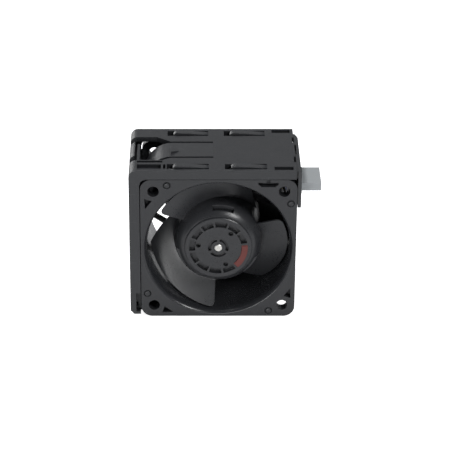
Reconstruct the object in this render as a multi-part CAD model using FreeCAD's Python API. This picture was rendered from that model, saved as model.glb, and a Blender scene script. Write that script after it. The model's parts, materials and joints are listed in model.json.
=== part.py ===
"""Server fan module: a 60 mm axial fan held in a moulded carrier.

Units are millimetres. X runs along the module from the finger end (-X) to the
connector end (+X), Y runs along the fan's axis from the inlet face to the
outlet, and Z is up. The pieces are drawn about the centre of the fan's inlet
face. At export they are moved so that the origin is the middle of the
module's underside. Angles about the fan's axis start at +X and grow
counter-clockwise as seen from the inlet.
"""
import FreeCAD, Part
import math
import os

V = FreeCAD.Vector
AXIS = V(0, 1, 0)

# ---- fan frame -------------------------------------------------------------
fan_side = 60.0             # square flanges
fan_depth = 38.0            # inlet face to outlet face
fan_corner_r = 4.3
flange_thickness = 4.0
hole_pitch = 50.0           # mounting holes, centre to centre
hole_r = 2.2
bore_r = 27.6               # duct
duct_wall = 1.9
lip_r = 29.4                # mouth of the inlet bell
bell_depth = 4.6
bell_steps = 4               # cones that make up the flare
boss_r = 1.35               # small location domes on the inlet face
boss_height = 0.45
boss_long = 27.6            # dome centre along a side and across it
boss_short = 19.8
recess_depth = 1.2          # three-cornered recesses beside the holes
key_slot_x = 18.85          # T slot that takes the carrier's key
key_head_top = 28.75
key_head_bottom = 26.95
key_half_top = 3.9
key_half_bottom = 2.6
key_neck_half = 0.78
key_shoulder = 0.7
key_clearance = 0.12
key_set_back = 2.6          # key end behind the inlet face

# ---- guide vanes and motor base --------------------------------------------
vane_count = 11
vane_start_y = 26.6
vane_end_y = 37.2
vane_thickness = 1.3
vane_root_depth = 4.0        # drawn this far into the motor base, then trimmed
vane_tip_depth = 4.0
vane_edge_share = 0.5        # thickness of a vane's edges over that of its middle
vane_turn = 17.0            # degrees turned from front edge to rear edge
vane_sweep = 2.6            # degrees swept per millimetre of radius
vane_phase = 212.0          # front edge of the first vane at the bore
base_r = 16.8
base_wall = 1.4
base_front_y = 24.2
base_back_y = 36.0
base_floor = 2.2
lead_arm_angle = 33.0
lead_arm_width = 7.4
lead_arm_front_y = 28.0
lead_arm_wall = 0.9
lead_window_front_y = 26.9

# ---- impeller --------------------------------------------------------------
tip_gap = 0.6
hub_r = 17.0
hub_front_y = 1.0
hub_back_y = 23.2
hub_disc_r = 13.1
hub_wall = 1.2
disc_step = 0.7
shoulder_end_y = 6.2
hub_face_thickness = 3.4
blade_count = 3
blade_lead_angle = 27.0
blade_hub_span = 122.0      # degrees wrapped round the hub
blade_tip_span = 76.0
blade_sweep_power = 0.6     # under 1: the rear edge trails most next to the hub
blade_bands = (0.2, 0.5)    # radii between hub and tip where the surface bends
blade_hub_lead_y = 7.6
blade_tip_lead_y = 3.5
blade_hub_trail_y = 19.6
blade_tip_trail_y = 15.6
blade_thickness = 1.5
blade_edge = 0.5
blade_corner_r = 2.6
blade_stations = 5
pocket_count = 12
pocket_first = 84.0
pocket_in_r = 9.0
pocket_out_r = 11.3
pocket_span = 25.6
pocket_depth = 1.2
putty_pockets = (3, 4)      # pockets filled with balancing putty
putty_proud = 0.25
putty_smear = 0.12          # cap drawn a little outward of the pockets
tool_hole_r = 0.85
tool_hole_circle = 7.8
tool_hole_first = 52.0
collar_in_r = 2.9           # three arc slots round the shaft
collar_out_r = 4.0
collar_rib = 18.0
collar_wall = 1.8
shoulder_slot_width = 8.4
shoulder_slot_depth = 0.9
shoulder_slot_first = 83.2

# ---- motor -----------------------------------------------------------------
shaft_r = 1.5
shaft_front_y = 0.85
shaft_back_y = 32.6
bearing_out_r = 3.5
bearing_width = 3.0
bearing_race = 0.62         # thickness of an inner or outer ring
front_bearing_y = 9.2
rear_bearing_y = 28.2
track_depth = 0.18          # ball track in each ring
ball_count = 7
ball_clearance = 0.02
tube_r = 4.4
tube_front_y = 8.6
tube_step = 0.5
yoke_wall = 0.9
yoke_floor = 0.9
magnet_thickness = 1.5
magnet_front_y = 8.6
magnet_back_y = 21.6
air_gap = 0.4
core_front_y = 10.6
core_back_y = 19.4
tooth_count = 4
tooth_width = 4.2
tooth_tip = 1.3
slot_opening = 2.4
insulator_thickness = 0.7
coil_tube_gap = 2.4
coil_end_gap = 1.2
coil_wedge_gap = 0.4         # between the slanted sides of two coils
coil_corner_share = 0.8
coil_build = 1.7
board_y = 25.2
board_thickness = 1.0
board_clearance = 0.25
chip_from_rim = 5.5
chip_angle = 250.0
chip_length = 4.9
chip_width = 3.9
chip_height = 1.5
chip_pin_pitch = 1.27
chip_pin_width = 0.4
chip_pin_length = 0.95
chip_pin_height = 0.4
sensor_from_rim = 1.95
sensor_angle = 135.0
sensor_thickness = 1.2
sensor_height = 1.6
sensor_width = 4.0
can_angles = (120.0, 165.0)
can_from_rim = 4.75
can_r = 2.0
can_chamfer = 0.3
can_clearance = 0.4
clip_thickness = 0.4
clip_r = 2.6
clip_from_end = 1.2         # clip groove, from the rear end of the shaft
clip_groove_depth = 0.3
spring_thickness = 0.25      # coned washer before the front bearing
spring_reach = 1.5
spring_seat = 0.65
running_gap = 0.05

# ---- carrier ---------------------------------------------------------------
carrier_left_x = -34.3
carrier_right_x = 29.5
carrier_top_z = 34.0
carrier_bottom_z = -28.9
carrier_front_y = -0.3
carrier_back_y = 36.8
carrier_edge_r = 2.8
carrier_foot_chamfer = 1.5
skin = 2.0                  # top and end walls
lip_depth = 2.5             # front and rear frames of the shell
fit_gap = 0.3               # carrier to fan
inner_wall = 1.0            # second wall at the finger end
under_lip_reach = 10.0      # ledge that hooks under the fan
under_lip_thickness = 1.5
rib_thickness = 1.2

# finger opening and latch
opening_front_y = 9.1
opening_back_y = 29.35
opening_corner_x = -23.9
opening_front_corner_x = -21.5
bar_front_y = 12.9
bar_back_y = 24.9
bar_notch_depth = 3.2
inner_wall_back_y = 23.2
latch_root_x = -2.2
latch_neck_x = -18.6
latch_front_y = 12.05
latch_back_y = 24.15
slit_width = 1.1
latch_thickness = 1.7
latch_bend_r = 10.5
latch_bend_angle = 62.0
latch_tail = 2.2
latch_gap = 0.15
catch_tip_x = -15.1
catch_base_x = -18.3
catch_front_y = 14.1
catch_back_y = 19.3
catch_height = 1.3

# damping leaf springs, by the place of each slot in the top wall
slot_length = 16.0
slot_width = 4.4
left_slot_x = -19.8
right_slot_x = 2.3
front_slot_y = 1.2
back_slot_y = 30.4
leaf_width = 2.7
leaf_thickness = 1.2
leaf_gap = 0.12
leaf_end_gap = 2.2
leaf_rise = 0.75
leaf_bump = 2.6

# other openings of the top wall
window_x = 21.1
window_length = 7.2
window_width = 2.7
front_window_y = 0.6
back_window_y = 33.1
block_groove_front_y = 6.9
block_groove_back_y = 8.5
block_groove_depth = 1.6
tray_left_x = -31.2
tray_right_x = -22.0
tray_front_y = 1.3
tray_back_y = 5.4
tray_depth = 1.5
side_slot_x = -21.2
side_slot_length = 0.9
edge_notch_depth = 0.7
edge_notch_length = 5.0
edge_notches_y = (7.0, 24.0)

# snap hook beside the fan at the foot of the end wall
hook_top_z = -19.6
hook_bottom_z = -27.8
hook_width = 1.75
hook_depth = 3.0
hook_tab_top_z = -21.1
hook_tab_bottom_z = -24.9
hook_tab_set_back = 0.9

# long rib that steadies the fan's rear flange
rub_rib_proud = 0.22
rub_rib_width = 1.5
rub_rib_top_z = 25.4
rub_rib_bottom_z = -26.0

# ---- connector plate, plug and leads ----------------------------------------
plate_thickness = 1.1
plate_bottom_z = 18.3
plate_top_z = 33.5
plate_front_y = 0.6
plate_slant_y = 30.0         # where the rear end begins to turn in
plate_back_y = 33.2
plate_chamfer = 3.0
plate_rail_clearance = 0.45  # top rail above the fan
plate_rail_tip = 0.5
plate_slit_front_y = 15.0    # gap in the rail, between the two hooks
plate_slit_back_y = 23.5
plate_post_thickness = 0.2
plate_post_width = 4.2
plate_gap = 0.1
plate_hook_thickness = 1.5
plate_hook_reach = 2.6
plug_front_y = 8.0
plug_width = 13.5
plug_bottom_z = 21.4
plug_height = 3.3
plug_inner_x = 27.2
plug_outer_x = 39.5
plug_wall = 0.6
plug_mouth_depth = 6.0
plug_flange = 0.8
contact_count = 4
contact_pitch = 2.5
contact_width = 0.64
contact_length = 4.6
lead_grip_share = 0.244      # share of the plug's length that a lead reaches in
lead_r = 0.5
lead_sides = 6
lead_pitch = 1.4
lead_pad_from_rim = 2.95
lead_run_y = 31.0
lead_turn_r = 30.9
lead_rise_x = 24.9
bend_share = 0.4             # share of the shorter run that a bend takes up


def polar(radius, degrees, y=0.0):
    """Point at a radius and an angle about the fan's axis."""
    angle = math.radians(degrees)
    return V(radius * math.cos(angle), y, radius * math.sin(angle))


def turn(shape, degrees):
    """Copy of a shape, turned counter-clockwise about the fan's axis."""
    copy = shape.copy()
    copy.rotate(V(0, 0, 0), AXIS, -degrees)
    return copy


def box(x0, x1, y0, y1, z0, z1):
    return Part.makeBox(x1 - x0, y1 - y0, z1 - z0, V(x0, y0, z0))


def drum(radius, y0, y1, x=0.0, z=0.0):
    return Part.makeCylinder(radius, y1 - y0, V(x, y0, z), AXIS)


def ring(inner, outer, y0, y1):
    return drum(outer, y0, y1).cut(drum(inner, y0, y1))


def turned(profile):
    """Solid of revolution about the fan's axis, from (radius, y) corners."""
    points = [V(r, y, 0) for r, y in profile]
    face = Part.Face(Part.makePolygon(points + points[:1]))
    return face.revolve(V(0, 0, 0), AXIS, 360)


def profile_y(points, y0, y1):
    """Outline in X and Z, drawn along Y."""
    corners = [V(x, y0, z) for x, z in points]
    face = Part.Face(Part.makePolygon(corners + corners[:1]))
    return face.extrude(V(0, y1 - y0, 0))


def profile_z(points, z0, z1):
    """Outline in X and Y, drawn along Z."""
    corners = [V(x, y, z0) for x, y in points]
    face = Part.Face(Part.makePolygon(corners + corners[:1]))
    return face.extrude(V(0, 0, z1 - z0))


def sector(inner, outer, y0, y1, middle, span):
    """Part of a ring, centred on an angle."""
    tube = ring(inner, outer, y0, y1)
    reach = outer * 2
    half = math.radians(span / 2)
    wedge = profile_y([(0, 0), (reach * math.cos(half), -reach * math.sin(half)),
                       (reach * math.cos(half), reach * math.sin(half))], y0, y1)
    return turn(tube.common(wedge), middle)


def edges_along(shape, direction, keep):
    """Straight edges along a direction whose middle passes a test."""
    chosen = []
    for edge in shape.Edges:
        if edge.Curve.TypeId != "Part::GeomLine":
            continue
        if abs(edge.tangentAt(edge.FirstParameter).dot(direction)) < 0.999:
            continue
        if keep(edge.CenterOfMass):
            chosen.append(edge)
    return chosen


def fuse_all(shapes):
    return shapes[0].multiFuse(shapes[1:]).removeSplitter()


def plain_solid(shape):
    """The one solid that a boolean operation leaves."""
    return shape.Solids[0] if len(shape.Solids) == 1 else shape


# ---- blades and vanes --------------------------------------------------------
def bladed_solid(camber, thickness, radii, stations):
    """Solid between two surfaces either side of a camber surface.

    camber(t, r) gives an angle in degrees and a y, for t from 0 at the front
    edge to 1 at the rear edge. thickness(t, r) is the full thickness there.
    The surfaces run in ruled bands from each radius to the next.
    """
    def skin_point(t, r, side):
        step = 0.01
        angle, y = camber(t, r)
        ahead_angle, ahead_y = camber(t + step, r)
        along = math.radians(ahead_angle - angle) * r
        rise = ahead_y - y
        length = math.hypot(along, rise)
        offset = side * thickness(t, r) / 2
        shifted = angle + math.degrees(-rise / length * offset / r)
        return polar(r, shifted, y + along / length * offset)

    def curve(r, side):
        line = Part.BSplineCurve()
        line.interpolate([skin_point(t, r, side) for t in stations])
        return line.toShape()

    upper, lower = ([curve(r, side) for r in radii] for side in (1, -1))
    faces = [Part.makeRuledSurface(upper[0], lower[0]), Part.makeRuledSurface(upper[-1], lower[-1])]
    for k in range(len(radii) - 1):
        band = upper[k:k + 2] + lower[k:k + 2]
        faces.append(Part.makeRuledSurface(band[0], band[1]))
        faces.append(Part.makeRuledSurface(band[2], band[3]))
        for end in (0, 1):
            ends = [edge.Vertexes[end].Point for edge in band]
            faces.append(Part.makeRuledSurface(Part.makeLine(ends[0], ends[1]),
                                               Part.makeLine(ends[2], ends[3])))
    shell = Part.makeShell(faces)
    shell.sewShape()
    solid = Part.makeSolid(shell.Shells[0] if shell.Shells else shell)
    if solid.Volume < 0:
        solid.reverse()
    return solid


def spread(low, high, count):
    return [low + (high - low) * k / (count - 1) for k in range(count)]


# ---- fan frame ---------------------------------------------------------------
def rounded_square(y0, y1):
    half = fan_side / 2
    block = box(-half, half, y0, y1, -half, half)
    corners = edges_along(block, AXIS, lambda p: True)
    return block.makeFillet(fan_corner_r, corners)


def bell_cutter():
    """Space inside the duct, with the flared mouth."""
    flare = lip_r - bore_r
    mouth = []
    for k in range(bell_steps + 1):
        turned_by = math.radians(90.0 * k / bell_steps)
        mouth.append((bore_r + flare * (1 - math.sin(turned_by)), bell_depth * (1 - math.cos(turned_by))))
    return turned([(0, -1), (lip_r, -1)] + mouth + [(bore_r, fan_depth + 1), (0, fan_depth + 1)])


def key_outline(grow):
    """T slot or key in X and Z; grow widens it."""
    top = fan_side / 2 + fit_gap
    neck = key_neck_half + grow
    wide = key_half_top + grow
    narrow = key_half_bottom + grow
    x = key_slot_x
    upper = key_head_top + grow
    lower = key_head_bottom - grow
    shoulder = key_head_top - key_shoulder
    return [(x - neck, top), (x - neck, upper), (x - wide, upper), (x - wide, shoulder),
            (x - narrow, lower), (x + narrow, lower), (x + wide, shoulder), (x + wide, upper),
            (x + neck, upper), (x + neck, top)]


def corner_recesses():
    """Three-cornered recesses beside three of the mounting holes."""
    shapes = []
    triangle = [(-28.3, 21.7), (-25.7, 20.9), (-28.1, 17.7)]
    for quarter in (0, 1, 2):
        cut = profile_y(triangle, -1, recess_depth)
        shapes.append(turn(cut, 90 * quarter))
    return shapes


def location_domes():
    """Small stepped domes, one on each side of the inlet face."""
    rim_y = -boss_height * 0.4
    dome = turned([(0, 0.2), (boss_r, 0.2), (boss_r, rim_y), (boss_r * 0.5, -boss_height), (0, -boss_height)])
    dome.translate(V(-boss_short, 0, boss_long))
    return [turn(dome, 90 * quarter) for quarter in range(4)]


def make_fan_frame():
    body = fuse_all([rounded_square(0, flange_thickness),
                     rounded_square(fan_depth - flange_thickness, fan_depth),
                     drum(bore_r + duct_wall, 0, fan_depth)])
    cuts = [bell_cutter()]
    for x in (-1, 1):
        for z in (-1, 1):
            cuts.append(drum(hole_r, -1, fan_depth + 1, x * hole_pitch / 2, z * hole_pitch / 2))
    cuts += corner_recesses()
    cuts.append(profile_y(key_outline(0), -1, flange_thickness + 1))
    cuts.append(lead_window())
    body = body.cut(cuts)
    return plain_solid(body.fuse(location_domes()).removeSplitter())


def lead_window():
    """Opening in the duct wall where the leads leave the arm."""
    half = lead_arm_width / 2 - 0.3
    cutter = box(bore_r - 1.5, bore_r + duct_wall + 1, lead_window_front_y, lead_run_y + 1.6, -half, half)
    return turn(cutter, lead_arm_angle)


# ---- guide vanes and motor base ----------------------------------------------
def vane():
    """Straight-ruled vane of constant section, swept as it runs outward."""
    inner = base_r - vane_root_depth
    outer = bore_r + vane_tip_depth
    root = polar(inner, vane_phase + vane_sweep * (bore_r - inner))
    run = polar(outer, vane_phase + vane_sweep * (bore_r - outer)) - root
    sideways = run.cross(AXIS)
    sideways.normalize()
    chord = math.radians(vane_turn) * (base_r + bore_r) / 2

    def skin(t, side):
        lean = sideways * (chord * (1.35 * t - 0.35 * t * t))
        half = vane_thickness / 2 * (1 if t == 0.5 else vane_edge_share)
        return root + lean + sideways * (side * half) + V(0, vane_start_y + (vane_end_y - vane_start_y) * t, 0)

    left = [skin(t, -1) for t in (0, 0.5, 1)]
    right = [skin(t, 1) for t in (0, 0.5, 1)]
    outline = Part.Wire([Part.Arc(*left).toShape(), Part.makeLine(left[2], right[2]),
                         Part.Arc(*right).toShape(), Part.makeLine(right[0], left[0])])
    solid = Part.Face(outline).extrude(run)
    return solid.common(ring(base_r - base_wall / 2, bore_r, base_front_y, fan_depth))


def lead_arm():
    """Channel that carries the leads from the motor base to the duct."""
    half = lead_arm_width / 2
    y1 = vane_end_y
    arm = box(base_r - 0.8, bore_r + 0.5, lead_arm_front_y, y1, -half, half)
    inner = half - lead_arm_wall
    channel = box(0, bore_r + 1, lead_arm_front_y + lead_arm_wall, y1 + 1, -inner, inner)
    arm = arm.cut(channel).common(drum(bore_r, 0, fan_depth))
    return turn(arm, lead_arm_angle)


def make_guide_vanes():
    wall_in = base_r - base_wall
    floor_y = base_back_y - base_floor
    cup = turned([(wall_in, base_front_y), (base_r, base_front_y), (base_r, base_back_y - 1),
                  (base_r - 1, base_back_y), (tube_r, base_back_y), (tube_r, floor_y - 3.6),
                  (tube_r + 1.4, floor_y - 3.6), (tube_r + 2.2, floor_y), (wall_in, floor_y)])
    pitch = 360.0 / vane_count
    vanes = []
    first = vane()
    arm_clear = math.degrees(lead_arm_width / 2 / base_r)
    for k in range(vane_count):
        root_angle = (vane_phase + vane_sweep * (bore_r - base_r) + vane_turn / 2 + k * pitch) % 360
        apart = abs((root_angle - lead_arm_angle + 180) % 360 - 180)
        if apart > arm_clear:
            vanes.append(turn(first, k * pitch))
    half = lead_arm_width / 2 - lead_arm_wall
    gate = box(0, bore_r - 0.5, lead_arm_front_y + lead_arm_wall, base_back_y + 2, -half, half)
    gate = gate.cut(drum(wall_in - 3.5, 0, fan_depth))
    gate = turn(gate, lead_arm_angle)
    solid = fuse_all([cup, lead_arm()] + vanes)
    return plain_solid(solid.cut(gate))


# ---- impeller ----------------------------------------------------------------
def blade():
    inner = hub_r - 0.7
    tip_r = bore_r - tip_gap

    def blend(r):
        return max(0.0, r - hub_r) / (tip_r - hub_r)

    def camber(t, r):
        share = blend(r)
        lead = blade_lead_angle
        sweep = share ** blade_sweep_power
        trail = blade_lead_angle - (blade_hub_span + (blade_tip_span - blade_hub_span) * sweep)
        lead_y = blade_hub_lead_y + (blade_tip_lead_y - blade_hub_lead_y) * share
        trail_y = blade_hub_trail_y + (blade_tip_trail_y - blade_hub_trail_y) * share
        curve = 0.75 * t + 0.25 * t * t
        return lead + (trail - lead) * t, lead_y + (trail_y - lead_y) * curve

    def thickness(t, r):
        full = blade_thickness * (1 - 0.35 * blend(r))
        return blade_edge + (full - blade_edge) * (1 - (2 * t - 0.9) ** 2 / 1.21)

    radii = [inner] + [hub_r + (tip_r - hub_r) * share for share in blade_bands] + [tip_r + 0.2]
    solid = bladed_solid(camber, thickness, radii, spread(0, 1, blade_stations))
    return solid.common(ring(inner, tip_r, 0, hub_back_y)).cut(blade_corner(tip_r))


def blade_corner(tip_r):
    """Cutter that rounds the outer corner of a blade's front edge."""
    r = blade_corner_r
    block = box(tip_r - r, tip_r + 1, 0, blade_tip_lead_y + 2.5, -r, 2)
    block = block.cut(drum(r, -1, hub_back_y, tip_r - r, -r))
    return turn(block, blade_lead_angle)


def hub_cuts():
    """Balance pockets, tool holes, collar slots and shoulder slots."""
    face = hub_front_y
    cuts = []
    for k in range(pocket_count):
        middle = pocket_first - k * 360.0 / pocket_count
        cuts.append(sector(pocket_in_r, pocket_out_r, face - 1, face + pocket_depth, middle, pocket_span))
    for k in range(3):
        hole = polar(tool_hole_circle, tool_hole_first + 120 * k)
        cuts.append(drum(tool_hole_r, face - 1, face + 1.6, hole.x, hole.z))
        cuts.append(sector(collar_in_r, collar_out_r, face - 1, face + 1.0, 30 + 120 * k, 120 - collar_rib))
    slope = math.atan2(hub_r - hub_disc_r, shoulder_end_y - hub_front_y - disc_step)
    mid_r = hub_disc_r + (hub_r - hub_disc_r) * 0.62
    mid_y = hub_front_y + disc_step + (shoulder_end_y - hub_front_y - disc_step) * 0.62
    span = math.degrees(shoulder_slot_width / mid_r)
    slot = sector(mid_r - shoulder_slot_depth, mid_r + 3, mid_y - 1.0, mid_y + 1.0 * math.cos(slope),
                  shoulder_slot_first, span)
    for k in range(3):
        cuts.append(turn(slot, 120 * k))
    return cuts


def make_impeller():
    inner = hub_r - hub_wall
    floor_y = hub_front_y + hub_face_thickness
    step_y = hub_front_y + disc_step
    hub = turned([(shaft_r, hub_front_y), (hub_disc_r - 0.3, hub_front_y), (hub_disc_r, hub_front_y + 0.3),
                  (hub_disc_r, step_y), (hub_disc_r + 0.4, step_y + 0.1),
                  (hub_r - 0.7, shoulder_end_y - 0.9), (hub_r, shoulder_end_y + 1.2), (hub_r, hub_back_y),
                  (inner, hub_back_y), (inner, shoulder_end_y + 0.6), (hub_disc_r, floor_y),
                  (shaft_r + collar_wall + 0.4, floor_y), (shaft_r + collar_wall, yoke_front_y()),
                  (shaft_r, yoke_front_y())])
    hub = hub.cut(hub_cuts())
    blades = [turn(blade(), k * 360.0 / blade_count) for k in range(blade_count)]
    return plain_solid(fuse_all([hub] + blades))


def make_balance_putty():
    """Red putty pressed into neighbouring balance pockets and over their rib."""
    face = hub_front_y
    angles = [pocket_first - k * 360.0 / pocket_count for k in putty_pockets]
    fills = [sector(pocket_in_r, pocket_out_r, face, face + pocket_depth, a, pocket_span) for a in angles]
    middle = sum(angles) / len(angles)
    span = max(angles) - min(angles) + pocket_span * 0.86
    cap = sector(pocket_in_r + putty_smear, pocket_out_r + putty_smear, face - putty_proud, face, middle, span)
    return plain_solid(fuse_all(fills + [cap]))


# ---- motor -------------------------------------------------------------------
def yoke_front_y():
    return shoulder_end_y + 0.6


def make_rotor_yoke():
    outer = hub_r - hub_wall
    inner = outer - yoke_wall
    y0 = yoke_front_y()
    return turned([(shaft_r, y0), (outer, y0), (outer, hub_back_y - 0.5), (inner, hub_back_y - 0.5),
                   (inner, y0 + yoke_floor), (shaft_r, y0 + yoke_floor)])


def magnet_inner_r():
    return hub_r - hub_wall - yoke_wall - magnet_thickness


def make_magnet_ring():
    return ring(magnet_inner_r(), hub_r - hub_wall - yoke_wall, magnet_front_y, magnet_back_y)


def make_shaft():
    groove_y = shaft_back_y - clip_from_end
    return turned([(0, shaft_front_y), (shaft_r - 0.2, shaft_front_y), (shaft_r, shaft_front_y + 0.2),
                   (shaft_r, groove_y), (shaft_r - clip_groove_depth, groove_y),
                   (shaft_r - clip_groove_depth, groove_y + clip_thickness),
                   (shaft_r, groove_y + clip_thickness), (shaft_r, shaft_back_y - 0.2),
                   (shaft_r - 0.2, shaft_back_y), (0, shaft_back_y)])


def make_retaining_clip():
    groove_y = shaft_back_y - clip_from_end
    clip = ring(shaft_r - clip_groove_depth, clip_r, groove_y, groove_y + clip_thickness)
    mouth = box(0, clip_r + 1, groove_y - 1, groove_y + 1, -shaft_r * 0.8, shaft_r * 0.8)
    return plain_solid(clip.cut(mouth))


def make_preload_spring():
    """Coned washer that loads the front bearing's inner ring."""
    y0 = yoke_front_y() + yoke_floor
    y1 = front_bearing_y
    t = spring_thickness
    rim = shaft_r + spring_reach
    seat = shaft_r + spring_seat
    return turned([(shaft_r + running_gap, y1 - t), (seat, y1 - t), (rim, y0),
                   (rim, y0 + t), (seat, y1), (shaft_r + running_gap, y1)])


def race_middle():
    return (bearing_out_r + shaft_r) / 2


def ball_r():
    return (bearing_out_r - shaft_r - 2 * bearing_race) / 2 + track_depth - ball_clearance


def grooved_ring(back_r, track_r, y0):
    """Bearing ring with a ball track; back_r is its plain side."""
    deep = track_r - track_depth if track_r > back_r else track_r + track_depth
    y1 = y0 + bearing_width
    edge = bearing_width / 2 - ball_r() * 0.75
    return turned([(back_r, y0), (track_r, y0), (track_r, y0 + edge), (deep, y0 + edge + track_depth),
                   (deep, y1 - edge - track_depth), (track_r, y1 - edge), (track_r, y1), (back_r, y1)])


def make_bearing_outer_rings():
    return Part.makeCompound([grooved_ring(bearing_out_r, bearing_out_r - bearing_race, y0)
                              for y0 in (front_bearing_y, rear_bearing_y)])


def make_bearing_inner_rings():
    return Part.makeCompound([grooved_ring(shaft_r, shaft_r + bearing_race, y0)
                              for y0 in (front_bearing_y, rear_bearing_y)])


def make_balls(y0):
    balls = []
    for k in range(ball_count):
        ball = turned([(ball_r() * math.cos(math.radians(a)), ball_r() * math.sin(math.radians(a)))
                       for a in (-90, -30, 30, 90)])
        ball.translate(polar(race_middle(), k * 360.0 / ball_count, y0 + bearing_width / 2))
        balls.append(ball)
    return Part.makeCompound(balls)


def make_bearing_tube():
    """Brass tube that holds both bearings, pressed into the motor base."""
    seat = bearing_out_r
    step_r = bearing_out_r - tube_step
    front_seat = front_bearing_y + bearing_width
    return turned([(seat, tube_front_y), (tube_r, tube_front_y), (tube_r, base_back_y),
                   (0.0, base_back_y), (0.0, base_back_y - 1.0), (seat, base_back_y - 1.0),
                   (seat, rear_bearing_y), (step_r, rear_bearing_y), (step_r, front_seat),
                   (seat, front_seat)])


def core_outline(y0, y1, shrink=0.0):
    """Toothed stack or end cap; shrink pulls it in from the air gap."""
    out_r = magnet_inner_r() - air_gap - shrink
    yoke_out = tube_r + 2.2
    pieces = [ring(tube_r, yoke_out, y0, y1)]
    shoe_span = 360.0 / tooth_count - math.degrees(slot_opening / out_r)
    for k in range(tooth_count):
        tooth = box(yoke_out - 0.4, out_r - tooth_tip * 0.6, y0, y1, -tooth_width / 2, tooth_width / 2)
        shoe = sector(out_r - tooth_tip, out_r, y0, y1, 0, shoe_span)
        pieces += [turn(tooth, k * 360.0 / tooth_count), turn(shoe, k * 360.0 / tooth_count)]
    return plain_solid(fuse_all(pieces))


def make_stator_core():
    return core_outline(core_front_y, core_back_y)


def make_front_insulator():
    return core_outline(core_front_y - insulator_thickness, core_front_y, 0.3)


def make_rear_insulator():
    return core_outline(core_back_y, core_back_y + insulator_thickness, 0.3)


def make_windings():
    """One coil round each tooth, outside the insulators."""
    start = tube_r + coil_tube_gap
    end = magnet_inner_r() - air_gap - tooth_tip - coil_end_gap
    y0 = core_front_y - insulator_thickness
    y1 = core_back_y + insulator_thickness
    half = tooth_width / 2
    outer = box(start, end, y0 - coil_build, y1 + coil_build, -half - coil_build, half + coil_build)
    outer = outer.makeFillet(coil_build * coil_corner_share, edges_along(outer, V(1, 0, 0), lambda p: True))
    coil = outer.cut(box(start - 1, end + 1, y0, y1, -half, half))
    reach = end * 2
    limit = profile_y([(0, 0), (reach, reach - coil_wedge_gap), (reach, coil_wedge_gap - reach)],
                      y0 - coil_build - 1, y1 + coil_build + 1)
    coil = plain_solid(coil.common(limit))
    return Part.makeCompound([turn(coil, k * 360.0 / tooth_count) for k in range(tooth_count)])


def make_circuit_board():
    board = ring(tube_r + board_clearance, base_r - base_wall - board_clearance,
                 board_y, board_y + board_thickness)
    bite = box(base_r - base_wall - 1.5, base_r, board_y - 1, board_y + 3, -1.5, 1.5)
    return plain_solid(board.cut(turn(bite, 200)))


def on_board(radius, angle, length, width, height):
    """Block on the board's rear face, its length along the radius."""
    y0 = board_y + board_thickness
    block = box(radius - length / 2, radius + length / 2, y0, y0 + height, -width / 2, width / 2)
    return turn(block, angle)


def board_outer_r():
    return base_r - base_wall - board_clearance


def make_driver_chip():
    middle = board_outer_r() - chip_from_rim
    body = on_board(middle, chip_angle, chip_length, chip_width, chip_height)
    foot = board_y + board_thickness
    pins = []
    for side in (-1, 1):
        for k in range(4):
            x = middle + chip_pin_pitch * (k - 1.5)
            reach = sorted((side * chip_width / 2, side * (chip_width / 2 + chip_pin_length)))
            pin = box(x - chip_pin_width / 2, x + chip_pin_width / 2, foot, foot + chip_pin_height, *reach)
            pins.append(turn(pin, chip_angle))
    return plain_solid(fuse_all([body] + pins))


def make_hall_sensor():
    outer = board_outer_r() - sensor_from_rim
    block = box(outer - sensor_thickness, outer, board_y - sensor_height, board_y,
                -sensor_width / 2, sensor_width / 2)
    return turn(block, sensor_angle)


def make_capacitors():
    """Two electrolytic cans standing between the board and the base."""
    cans = []
    y0 = board_y + board_thickness
    y1 = base_back_y - base_floor - can_clearance
    for angle in can_angles:
        can = turned([(0, y0), (can_r, y0), (can_r, y1 - can_chamfer), (can_r - can_chamfer, y1), (0, y1)])
        can.translate(polar(board_outer_r() - can_from_rim, angle))
        cans.append(can)
    return Part.makeCompound(cans)


# ---- carrier -----------------------------------------------------------------
def carrier_outline(y0, y1):
    """L-shaped section of the carrier, drawn along Y, with its long edge rounded."""
    top, bottom = carrier_top_z, carrier_bottom_z
    left, right = carrier_left_x, carrier_right_x
    fan_top = fan_side / 2 + fit_gap
    fan_left = -fan_side / 2 - fit_gap
    bevel = carrier_foot_chamfer
    block = profile_y([(right, top), (left, top), (left, bottom + bevel), (left + bevel, bottom),
                       (fan_left, bottom), (fan_left, fan_top), (right, fan_top)], y0, y1)
    corner = edges_along(block, AXIS, lambda p: p.x < left + 0.01 and p.z > top - 0.01)
    return block.makeFillet(carrier_edge_r, corner)


def opening_outline():
    """Finger opening in the top wall, with the throat that narrows to the latch."""
    left = carrier_left_x + skin
    return [(left, opening_front_y), (opening_front_corner_x, opening_front_y),
            (latch_neck_x, latch_front_y - slit_width), (latch_neck_x, latch_back_y + slit_width),
            (opening_corner_x, opening_back_y), (left, opening_back_y)]


def leaf_slots():
    """Corner of each leaf-spring slot, with the name of its place."""
    return {"front_left": (left_slot_x, front_slot_y), "back_left": (left_slot_x, back_slot_y),
            "front_right": (right_slot_x, front_slot_y), "back_right": (right_slot_x, back_slot_y)}


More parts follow.
